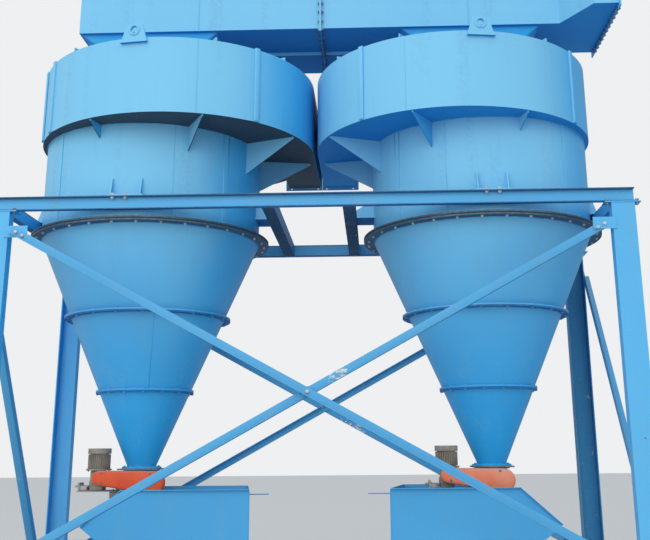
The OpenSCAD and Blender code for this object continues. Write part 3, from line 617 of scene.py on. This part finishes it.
BRACE_TOP_Z, BRACE_FOOT_Z, CROSS_Z = 3.220, 0.730, 1.975
ANGLE_T, LEG, SLIM = 0.008, 0.080, 0.060
TOP_SHARE, NEAR = 0.75, 0.002
REAR_DROP = {"falling": 0.018, "rising": 0.055}
COLUMN_IN = COLUMN_X - 0.0875
RISE = math.atan((BRACE_TOP_Z - CROSS_Z) / COLUMN_IN)


def slim_brace(name, centre, upward, outward):
    """Upward lies in the brace's face and square to its length, outward is where its second leg points."""
    piece = skin(name)
    centre, upward, outward = Vector(centre), Vector(upward), Vector(outward)
    lost = (LEG - SLIM) * upward
    nudge(piece, lambda co: (co - centre).dot(upward) > LEG / 2 - NEAR, -TOP_SHARE * lost)
    nudge(piece, lambda co: (co - centre).dot(upward) < ANGLE_T + NEAR - LEG / 2, (1 - TOP_SHARE) * lost)
    nudge(piece, lambda co: (co - centre).dot(outward) > LEG - 0.012, (SLIM - LEG) * outward)
    return rounded(piece, 0.0015, 2)


for front, word in ((1, "front"), (-1, "rear")):
    for kind, tip, out in (("rising", -1, 1), ("falling", 1, -1)):
        name = f"brace_{word}_{kind}"
        face = front * (FACE_Y if kind == "rising" else FACE_Y - ANGLE_T)
        piece = slim_brace(name, (0, face, CROSS_Z), (tip * math.sin(RISE), 0, math.cos(RISE)), (0, front * out, 0))
        if word == "rear" and kind == "rising":
            shape(piece, is_any, lambda: bpy.ops.transform.rotate(
                value=math.pi, orient_axis="Y", center_override=(0, -FACE_Y, CROSS_Z)))
        if word == "rear":
            nudge(piece, lambda co: True, (0, 0, -REAR_DROP[kind]))
        paint = brace_blue
        if name in ("brace_front_rising", "brace_rear_falling"):
            reach = (0.14, 0.31) if word == "front" else (0.15, 0.40)
            paint = enamel(f"scuffed_{word}", **ON_BRACES, scuffed=reach)
        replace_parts(add(piece, f"slim_{name}", paint, "frame_blue"), name)

for side, sign in SIDES:
    name = f"brace_side_{side}"
    low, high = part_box(name)
    run, drop = high.y - low.y - 0.040, high.z - low.z - 0.069
    lean = math.atan2(drop, run)
    tip = 1 if sign < 0 else -1
    centre = ((high.x if sign < 0 else low.x), (low.y + high.y) / 2, (low.z + high.z) / 2)
    piece = slim_brace(name, centre, (0, tip * math.sin(lean), math.cos(lean)), (sign, 0, 0))
    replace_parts(add(piece, f"slim_{name}", brace_blue, "frame_blue"), name)
print("braces slimmed to", SLIM, "m")

# %% Brace bolts and anchors
BOLT_DROP = 0.005
brace_bolts, cross_bolts, anchors = [], [], []
for front in (1, -1):
    away = (0, -front, 0)
    drops = REAR_DROP if front < 0 else {"falling": 0, "rising": 0}
    for sign in (-1, 1):
        for z in (BRACE_TOP_Z, BRACE_FOOT_Z):
            upper = z > CROSS_Z
            slope = math.tan(RISE) * (1 if upper else -1)
            kind = "rising" if upper == (sign > 0) else "falling"
            y = front * (FACE_Y if kind == "rising" else FACE_Y - ANGLE_T)
            for reach in (0.065, 0.118):
                height = z - slope * reach - drops[kind] - BOLT_DROP
                brace_bolts.append(spot((sign * (COLUMN_IN - reach), y, height), axis=away))
        for dx in (-0.160, 0.160):
            for dy in (-0.110, 0.110):
                anchors.append(spot((sign * COLUMN_X + dx, front * (FACE_Y + 0.045) + dy, 0.016), spin=dx))
    cross_bolts.append(spot((0, front * (FACE_Y - ANGLE_T / 2), CROSS_Z - drops["falling"] - BOLT_DROP), axis=away))
add(set_out(bolt(M16, 2 * ANGLE_T), brace_bolts), "bolts_braces", bright, "zinc_grey")
add(set_out(bolt(M16, 3 * ANGLE_T), cross_bolts), "bolts_crossings", bright, "zinc_grey")
print("brace bolts:", len(brace_bolts))

# %% [markdown]
# ## Anchor nuts
# An anchor is a threaded rod that stands out of the floor. Only its nut, washer and the last threads show above
# the base plate, so these are modelled without a head.

# %% Anchor nuts
rod = cylinder(0.010, 0.062, (0, 0, 0.031), sides=12)
shape(rod, is_top, inset(0.002, 0.002))
nut = cylinder(0.0173, 0.016, (0, 0, 0.012), sides=6)
shape(nut, is_top, inset(0.004, 0.002))
washer = cylinder(0.0185, 0.003, (0, 0, 0.0015), sides=20)
add(set_out(joined([rod, nut, washer]), anchors), "anchor_nuts", plated, "zinc_grey")
print("anchors:", len(anchors))

# %% [markdown]
# ## Weld beads
# Every flange and every plate is welded to its shell. A bead is a thin ring that is not quite even, so its points
# are moved a little at random, always with the same seed.

# %% Weld rings
BEAD = 0.005


def bead_ring(x, radius, z, seed):
    ring = torus(radius, BEAD, 144, 6, (x, 0, z))
    shape(ring, is_any, lambda: bpy.ops.transform.vertex_random(offset=0.3 * BEAD, seed=seed))
    return ring


SCROLL_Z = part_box("barrel_right")[1].z
rings = [(BARREL_R, SCROLL_Z), (BARREL_R, JOINT_Z + GASKET / 2 + FLANGE)]
for z in (JOINT_Z - GASKET / 2, SECOND_Z, THIRD_Z):
    rings.append((cone_r(z - FLANGE), z - FLANGE))
for z in (SECOND_Z, THIRD_Z, NECK_Z):
    rings.append((cone_r(z + FLANGE), z + FLANGE))
for side, sign in SIDES:
    beads = [bead_ring(sign * AXIS, radius, z, seed=i + 1) for i, (radius, z) in enumerate(rings)]
    add(joined(beads), f"weld_rings_{side}", finishes["plant_blue"], "plant_blue", smooth=60)
print("weld rings:", len(rings), "a side")

# %% [markdown]
# ## Sheet seams
# Sheet comes in widths of about 1.5 m, so the header, the scrolls, the barrels and the cones each have seams where
# two sheets meet. A ground weld stands only a few millimetres proud. It is drawn as a thin six-sided bar whose ends
# taper, which an inset of both end faces gives.

# %% Seams
def seam(start, end, width=0.004):
    start, end = Vector(start), Vector(end)
    piece = cylinder(width, (end - start).length, sides=6)
    shape(piece, is_end, inset(0.5 * width, width))
    piece.matrix_world = spot((start + end) / 2, axis=end - start)
    return piece


def about(x, radius, z, turn):
    """A point on an upright cylinder, its turn in degrees from the front towards +X."""
    return x + radius * math.sin(math.radians(turn)), -radius * math.cos(math.radians(turn)), z


BODY_Y0, BODY_Y1 = HEADER_LOW.y + RIM, HEADER_HIGH.y - RIM
BODY_Z0, BODY_Z1 = HEADER_LOW.z + RIM, HEADER_HIGH.z - RIM
seams = []
for x in (-1.015, 1.355):
    corners = [(x, BODY_Y0, BODY_Z0), (x, BODY_Y0, BODY_Z1), (x, BODY_Y1, BODY_Z1), (x, BODY_Y1, BODY_Z0)]
    seams += [seam(corners[i], corners[i - 1], 0.005) for i in (1, 2, 3)]
add(joined(seams), "header_seams", finishes["plant_blue"], "plant_blue")

SCROLL_R, SCROLL_SHIFT = 1.170, 0.225
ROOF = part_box("roof_right")[0].z
for side, sign in SIDES:
    wall_x, axis_x = sign * (AXIS - SCROLL_SHIFT), sign * AXIS
    front_turn, cone_turn = (16.4, 17) if side == "left" else (-21.4, 150)
    seams = [seam(about(wall_x, SCROLL_R, SCROLL_Z + 0.01, turn), about(wall_x, SCROLL_R, ROOF, turn))
             for turn in (front_turn, sign * 100)]
    seams += [seam(about(axis_x, BARREL_R, JOINT_Z + 0.02, turn), about(axis_x, BARREL_R, SCROLL_Z, turn))
              for turn in (sign * -22, 170)]
    for low, high, turn in ((SECOND_Z, JOINT_Z, 160), (THIRD_Z, SECOND_Z, cone_turn), (NECK_Z, THIRD_Z, 140)):
        low, high = low + 0.016, high - 0.020
        seams.append(seam(about(axis_x, cone_r(low), low, turn), about(axis_x, cone_r(high), high, turn)))
    add(joined(seams), f"wall_seams_{side}", finishes["plant_blue"], "plant_blue")
print("seams done")

# %% [markdown]
# ## Scroll walls
# Each scroll is a rolled sheet with raised strips over its joints. Its wall is drawn again from a merged copy, so
# that the light runs evenly over its long narrow faces, to which normals weighted by area help. The left one keeps
# its darker, greyer underside. The strips are flat bars that stand 15 mm proud with rounded edges, and the left
# scroll has one more near its side.

# %% Scroll walls
def wall_bar(x, turn, width):
    low, high = SCROLL_Z + 0.006, ROOF + 0.014
    return rounded(block((width, 0.014, high - low), about(x, SCROLL_R + 0.008, (low + high) / 2, turn),
                         (0, 0, math.radians(turn))), 0.004, 3)


for side, paint in (("left", dark_under_blue), ("right", finishes["plant_blue"])):
    wall = add(skin(f"scroll_{side}"), f"scroll_wall_{side}", paint, "plant_blue", smooth=25)
    even = wall.modifiers.new("even", "WEIGHTED_NORMAL")
    even.keep_sharp = True
    bpy.ops.object.modifier_apply(modifier=even.name)
    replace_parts(wall, f"scroll_{side}")
for side, sign in SIDES:
    wall_x = sign * (AXIS - SCROLL_SHIFT)
    bars = [wall_bar(wall_x, sign * turn, 0.046) for turn in (-41, 53)]
    if side == "left":
        bars.append(wall_bar(wall_x, -66, 0.060))
    add(joined(bars), f"wall_bars_{side}", finishes["plant_blue"], "plant_blue")
print("scroll walls merged")

# %% [markdown]
# ## Bars under the header
# A wide duct of thin sheet drums when air rushes through it, so its flat sides carry bars on edge. One shows from
# below as a paler line along the middle of the header's underside, and the top has the same.

# %% Stiffening bars
def flat_bar(start, end, tall, thick):
    start, end = Vector(start), Vector(end)
    piece = block(((end - start).length, thick, tall))
    shape(piece, lambda face: abs(face.normal.x) > 0.9, inset(0.001, 0.001))
    piece.matrix_world = Matrix.Translation((start + end) / 2)
    return rounded(piece, 0.0015, 1)


middle_y = (BODY_Y0 + BODY_Y1) / 2
pipe_left, pipe_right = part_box("transition_left")[1].x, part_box("transition_right")[0].x
under_z, above_z = BODY_Z0 - 0.015, BODY_Z1 + 0.015
runs = [(pipe_left + 0.01, HEADER_HIGH.x - 0.012, under_z), (HEADER_HIGH.x + 0.012, pipe_right - 0.01, under_z),
        (HEADER_LOW.x + 0.02, HEADER_HIGH.x - 0.012, above_z), (HEADER_HIGH.x + 0.012, 2.10, above_z)]
bars = [flat_bar((x0, middle_y, z), (x1, middle_y, z), 0.032, 0.006) for x0, x1, z in runs]
add(joined(bars), "header_bars", finishes["plant_blue"], "plant_blue")
print("bars at y =", round(middle_y, 3))

# %% [markdown]
# ## Eyes of the lifting lugs
# A rounded ring is welded round each lug's hole, so that a shackle's pin bears on more than the plate's edge. It is
# a torus flattened along its axis, with a bead where it meets the plate.

# %% Lug eyes
LUG_TURN, LUG_Z, LUG_T = 8, 4.753, 0.014
eyes = []
for sign in (-1, 1):
    for turn in (sign * LUG_TURN, 180 - sign * LUG_TURN):
        centre = about(sign * (AXIS - SCROLL_SHIFT), SCROLL_R + LUG_T + 0.004, LUG_Z, turn)
        out = Vector(about(0, 1, 0, turn))
        for radius, thick in ((0.037, 0.0075), (0.045, 0.003)):
            ring = flattened(torus(radius, thick, 40, 10), 0.6)
            ring.matrix_world = spot(centre, axis=out)
            eyes.append(ring)
add(joined(eyes), "lug_eyes", finishes["plant_blue"], "plant_blue", smooth=60)
print("eyes:", len(eyes) // 2)

# %% [markdown]
# ## Chain guards
# A guard is pressed from sheet, so its edge is round and it stands on a narrow rim. The frame has it as a plain
# slab, of which a copy is merged, freed of its inner edges and rounded. Four screws are added.

# %% Guards
GUARD_SCREWS = ((0.02, 1.405), (0.02, 1.330), (0.40, 1.400), (0.40, 1.262))
for side, small_x in (("left", -AXIS - 0.270), ("right", AXIS - 0.370)):
    guard = rounded(skin(f"guard_{side}"), 0.016, 3, 50)
    finish = finishes["guard_orange"] if side == "left" else faded_orange
    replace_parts(add(guard, f"chain_guard_{side}", finish, "guard_orange"), f"guard_{side}")
    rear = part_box(f"guard_{side}")[1].y
    screws = [spot((small_x + dx, rear - 0.060, z), axis=(0, -1, 0)) for dx, z in GUARD_SCREWS]
    head = cylinder(0.007, 0.005, (0, 0, 0.0025), sides=6)
    shape(head, is_top, inset(0.002, 0.001))
    disc = cylinder(0.010, 0.0015, (0, 0, 0.0), sides=14)
    add(set_out(joined([head, disc]), screws), f"guard_screws_{side}", plated, "zinc_grey")
print("guards rounded")

# %% [markdown]
# ## Drives of the valves
# An upright totally enclosed motor: a fan cowl with a rounded rim and a grille on top, cooling fins round the body, a
# terminal box with its lid and cable gland, a flange, and a worm gearbox below with round covers. It stands on a
# plate that is held at the height of the hopper's rim by a riser beside the valve. The frame has plain solids here.

# %% Drives
def cap(radius, depth, place, axis=(0, 0, 1), lip=0.006, sides=32):
    piece = cylinder(radius, depth, sides=sides)
    shape(piece, is_top, inset(lip, 0), inset(lip, -0.4 * lip))
    rounded(piece, 0.35 * lip, 2)
    piece.matrix_world = spot(place, axis=axis)
    return piece


DECK_TOP, PLATE_Z, BOX_TOP, MOTOR_TOP, DRIVE_Y = 1.212, 1.262, 1.424, 1.592, -0.135
PLATE_T, FLANGE_T, MOTOR_R, COWL_H = 0.010, 0.012, 0.088, 0.042
BODY_Z = BOX_TOP + FLANGE_T
BODY_TOP, PLATE_TOP, PLATE_Y = MOTOR_TOP - COWL_H, PLATE_Z + PLATE_T, DRIVE_Y + 0.030
BODY_MID, FIN_R = (BODY_Z + BODY_TOP) / 2, MOTOR_R - 0.008
for side, sign, drive_x, small_x in (
        ("left", -1, -AXIS - 0.310, -AXIS - 0.270), ("right", 1, AXIS - 0.370, AXIS - 0.370)):
    plate_x0, plate_x1 = drive_x - 0.150, sign * AXIS - 0.110
    plate = block((plate_x1 - plate_x0, 0.190, PLATE_T), ((plate_x0 + plate_x1) / 2, PLATE_Y, PLATE_Z + PLATE_T / 2))
    rounded(plate, 0.002)
    riser = block((0.090, 0.150, PLATE_Z - DECK_TOP), (plate_x1 - 0.050, PLATE_Y, (PLATE_Z + DECK_TOP) / 2))
    rounded(riser, 0.003)
    box = block((0.106, 0.116, BOX_TOP - PLATE_TOP), (drive_x, DRIVE_Y, (BOX_TOP + PLATE_TOP) / 2))
    rounded(box, 0.012, 3)
    shaft = cylinder(0.024, 0.050, (small_x, DRIVE_Y - 0.065, 1.3675), rotation=(math.pi / 2, 0, 0))
    disc = cap(0.100, FLANGE_T, (drive_x, DRIVE_Y, BOX_TOP + FLANGE_T / 2), lip=0.004)
    body = cylinder(MOTOR_R - 0.014, BODY_TOP - BODY_Z, (drive_x, DRIVE_Y, BODY_MID))
    fin = rounded(block((0.004, 0.016, BODY_TOP - BODY_Z - 0.008)), 0.001, 1)
    around = [spot((drive_x + FIN_R * math.sin(t), DRIVE_Y - FIN_R * math.cos(t), BODY_MID), spin=t)
              for t in (i * math.pi / 16 for i in range(32))]
    cowl = cap(MOTOR_R + 0.003, COWL_H, (drive_x, DRIVE_Y, MOTOR_TOP - COWL_H / 2), lip=0.010)
    grille = [flattened(torus(radius, 0.0018, 32, 6, (drive_x, DRIVE_Y, MOTOR_TOP - 0.002)), 0.7)
              for radius in (0.018, 0.032, 0.046, 0.060)]
    terminals = [rounded(block((0.085, 0.050, 0.075), (drive_x, DRIVE_Y + 0.100, BODY_Z + 0.060)), 0.006),
                 rounded(block((0.093, 0.010, 0.083), (drive_x, DRIVE_Y + 0.129, BODY_Z + 0.060)), 0.003),
                 cap(0.011, 0.024, (drive_x + 0.050, DRIVE_Y + 0.100, BODY_Z + 0.050), axis=(1, 0, 0), lip=0.003,
                     sides=12)]
    covers = [cap(0.042, 0.010, (drive_x, DRIVE_Y + 0.062, 1.345), axis=(0, 1, 0)),
              cap(0.034, 0.012, (drive_x - 0.058, DRIVE_Y, 1.320), axis=(-1, 0, 0))]
    drive = joined([plate, riser, box, shaft, disc, body, set_out(fin, around), cowl, *grille, *terminals, *covers])
    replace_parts(add(drive, f"drive_{side}", finishes["motor_grey"], "motor_grey"), f"gearmotor_{side}")
    feet = [spot((drive_x + 0.091 * math.sin(t), DRIVE_Y - 0.091 * math.cos(t), BOX_TOP + FLANGE_T / 2))
            for t in (0.8, 2.35, 3.93, 5.5)]
    feet += [spot((plate_x1 - x, DRIVE_Y + y, PLATE_Z + PLATE_T / 2)) for x in (0.030, 0.070) for y in (-0.020, 0.080)]
    add(set_out(bolt(0.013, FLANGE_T, tail=False), feet), f"drive_bolts_{side}", plated, "zinc_grey")
print("drives built")

# %% [markdown]
# ## Chain tension block
# Beside each gearbox a block with two threaded rods pulls the drive outwards to tighten its chain. It stands at the
# end of the drive's plate and is dusty and pale.

# %% Tension blocks
dusty_cast = cast("dusty_cast", (0.46, 0.45, 0.42, 1), (0.26, 0.24, 0.20, 1), 0.60, 0.0, 0.0014)
for side, end_x in (("left", -AXIS - 0.460), ("right", AXIS - 0.520)):
    rest = rounded(block((0.014, 0.110, 0.060), (end_x + 0.012, DRIVE_Y, PLATE_TOP + 0.030)), 0.002)
    boss = rounded(block((0.058, 0.100, 0.036), (end_x + 0.046, DRIVE_Y, PLATE_TOP + 0.018)), 0.009, 3)
    rods, nuts = [], []
    for y in (DRIVE_Y - 0.038, DRIVE_Y + 0.038):
        rod = cylinder(0.006, 0.100, sides=10)
        shape(rod, is_end, inset(0.0015, 0.0015))
        rod.matrix_world = spot((end_x + 0.028, y, PLATE_TOP + 0.032), axis=(-1, 0, 0))
        rods.append(rod)
        nuts += [spot((end_x + 0.012 + dx, y, PLATE_TOP + 0.032), axis=(dx, 0, 0)) for dx in (-0.013, 0.013)]
    nut = cylinder(0.011, 0.010, sides=6)
    shape(nut, is_top, inset(0.003, 0.0015))
    add(joined([rest, boss, *rods, set_out(nut, nuts)]), f"tension_block_{side}", dusty_cast, "zinc_grey")
print("tension blocks done")

# %% [markdown]
# ## Rotary valves
# Each end of the valve's housing is closed by a round cover with eight screws, and a gland seals the shaft.

# %% Valve covers
VALVE_Z, SCREW_R, FOOT_Z = 1.3175, 0.082, 1.206
for side, sign in SIDES:
    covers, screws = [], []
    for way in (-1, 1):
        out = (0, way, 0)
        covers.append(cap(0.100, 0.014, (sign * AXIS, way * 0.155, VALVE_Z), axis=out, lip=0.012, sides=40))
        covers.append(cap(0.052, 0.018, (sign * AXIS, way * 0.170, VALVE_Z), axis=out, lip=0.006))
        for i in range(8):
            t = (i + 0.5) * math.pi / 4
            x, z = sign * AXIS + SCREW_R * math.sin(t), VALVE_Z + SCREW_R * math.cos(t)
            screws.append(spot((x, way * 0.162, z), axis=out))
    add(joined(covers), f"valve_covers_{side}", finishes["zinc_grey"], "zinc_grey")
    head = cylinder(0.008, 0.006, (0, 0, 0.003), sides=6)
    shape(head, is_top, inset(0.002, 0.001))
    add(set_out(head, screws), f"valve_screws_{side}", plated, "zinc_grey")
    low_bolts = [spot((sign * AXIS + x, y, FOOT_Z))
                 for x in (-0.140, 0.0, 0.140) for y in (-0.140, 0.0, 0.140) if x or y]
    add(set_out(bolt(M12, 0.018), low_bolts), f"bolts_valve_foot_{side}", plated, "zinc_grey")
print("valves done")

# %% [markdown]
# ## Welds of the seats, the scrolls' gussets and the hoppers
# Where a plate meets a shell, a fillet runs along the corner. The same tapered bar serves, one for each line.

# %% Plate welds
FIN_GAP, FIN_T, FIN_H = 0.230, 0.012, 0.140
HOPPER_IN, HOPPER_SHIFT, HOPPER_FRONT, HOPPER_FOOT, HOPPER_TOP = 0.530, 0.060, 0.500, 0.300, 1.270
for side, sign in SIDES:
    lines = []
    for turn in (0, 90, 180, -90):
        out, along = Vector(about(0, 1, 0, turn)), Vector(about(0, 1, 0, turn + 90))
        for x in (-FIN_GAP / 2, FIN_GAP / 2):
            for dx in (-FIN_T / 2, FIN_T / 2):
                reach = math.sqrt(BARREL_R ** 2 - (x + dx) ** 2) + 0.001
                foot = Vector((sign * AXIS, 0, 0)) + along * (x + dx) + out * reach
                lines.append(seam(foot + Vector((0, 0, BEAM_TOP + SEAT_T)), foot + Vector((0, 0, BEAM_TOP + FIN_H))))
    add(joined(lines), f"seat_welds_{side}", finishes["plant_blue"], "plant_blue")
    inner = sign * HOPPER_IN + HOPPER_SHIFT
    line = seam((inner, -HOPPER_FRONT, HOPPER_FOOT), (inner, -HOPPER_FRONT, HOPPER_TOP))
    add(joined([line]), f"hopper_weld_{side}", hopper_blue, "plant_blue")
print("plate welds done")

# %% [markdown]
# ## The stage
# A plain pale floor and a pale surround. The light is that of an overcast sky which is open to the front and the
# left and closed by a building behind, so the surround casts most from there, and one large soft lamp adds a little
# form. What the camera sees is pale, while the light from below stays low, so that undersides keep their deep blue.

# %% Floor, surround and lamp
def split_rays(tree, seen, cast_light, out_kind):
    path = tree.nodes.new("ShaderNodeLightPath")
    mix = tree.nodes.new("ShaderNodeMixShader")
    tree.links.new(path.outputs["Is Camera Ray"], mix.inputs[0])
    tree.links.new(cast_light.outputs[0], mix.inputs[1])
    tree.links.new(seen.outputs[0], mix.inputs[2])
    tree.links.new(mix.outputs[0], tree.nodes[out_kind].inputs["Surface"])


SURROUND = (0.86, 0.87, 0.88, 1)
world = bpy.data.worlds.new("surround")
world.use_nodes = True
bpy.context.scene.world = world
seen = world.node_tree.nodes["Background"]
seen.inputs["Color"].default_value = SURROUND
node, link = world.node_tree.nodes.new, world.node_tree.links.new


def ramp(from_min, from_max, to_min, to_max):
    made = node("ShaderNodeMapRange")
    made.interpolation_type = "SMOOTHSTEP"
    for key, value in {"From Min": from_min, "From Max": from_max, "To Min": to_min, "To Max": to_max}.items():
        made.inputs[key].default_value = value
    return made


sky = node("ShaderNodeBackground")
place = node("ShaderNodeTexCoord")
parts = node("ShaderNodeSeparateXYZ")
by_height = ramp(-0.10, 0.15, 0.12, 1.08)
toward = node("ShaderNodeVectorMath")
toward.operation = "DOT_PRODUCT"
toward.inputs[1].default_value = (-0.25, -0.96, 0.10)
open_side = ramp(-0.80, 0.35, 0.42, 1.0)
strength = node("ShaderNodeMath")
strength.operation = "MULTIPLY"
link(place.outputs["Generated"], parts.inputs[0])
link(place.outputs["Generated"], toward.inputs[0])
link(toward.outputs["Value"], open_side.inputs["Value"])
link(parts.outputs[2], by_height.inputs["Value"])
link(by_height.outputs[0], strength.inputs[0])
link(open_side.outputs[0], strength.inputs[1])
link(strength.outputs[0], sky.inputs["Strength"])
sky.inputs["Color"].default_value = (0.93, 0.97, 1.0, 1)
split_rays(world.node_tree, seen, sky, "World Output")

bpy.ops.object.select_all(action="DESELECT")
bpy.ops.mesh.primitive_plane_add(size=120)
floor = bpy.context.object
floor.name = "floor"
ground = bpy.data.materials.new("floor")
ground.use_nodes = True
pale = ground.node_tree.nodes["Principled BSDF"]
pale.inputs["Base Color"].default_value = (0.62, 0.63, 0.64, 1)
pale.inputs["Roughness"].default_value = 0.9
dim = ground.node_tree.nodes.new("ShaderNodeBsdfDiffuse")
dim.inputs["Color"].default_value = (0.62, 0.62, 0.61, 1)
split_rays(ground.node_tree, pale, dim, "Material Output")
floor.data.materials.append(ground)
floor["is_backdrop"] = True


def softbox(name, place, target, size, power):
    light = bpy.data.lights.new(name, "AREA")
    light.shape = "DISK"
    light.size = size
    light.energy = power
    lamp = bpy.data.objects.new(name, light)
    bpy.context.scene.collection.objects.link(lamp)
    lamp.location = place
    lamp.rotation_euler = (Vector(target) - Vector(place)).to_track_quat("-Z", "Y").to_euler()


softbox("key", (-5.0, -18.0, 10.0), (0, 0, 3.5), 18.0, 1100)
bpy.context.scene.view_settings.view_transform = "Standard"
print("stage ready")

# %% [markdown]
# ## Measure and finish
# The box of the dressed object is measured, and the CAD model's box is kept beside it. The dressed object has to
# stay inside the CAD model's box, apart from the bolts of the header's open end, which reach 20 mm past it.

# %% Sizes of the dressed object
low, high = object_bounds()
{"cad": [list(cad_low), list(cad_high)], "visual": [list(low), list(high)]}
print("visual box", [round(v, 3) for v in (*low, *high)])
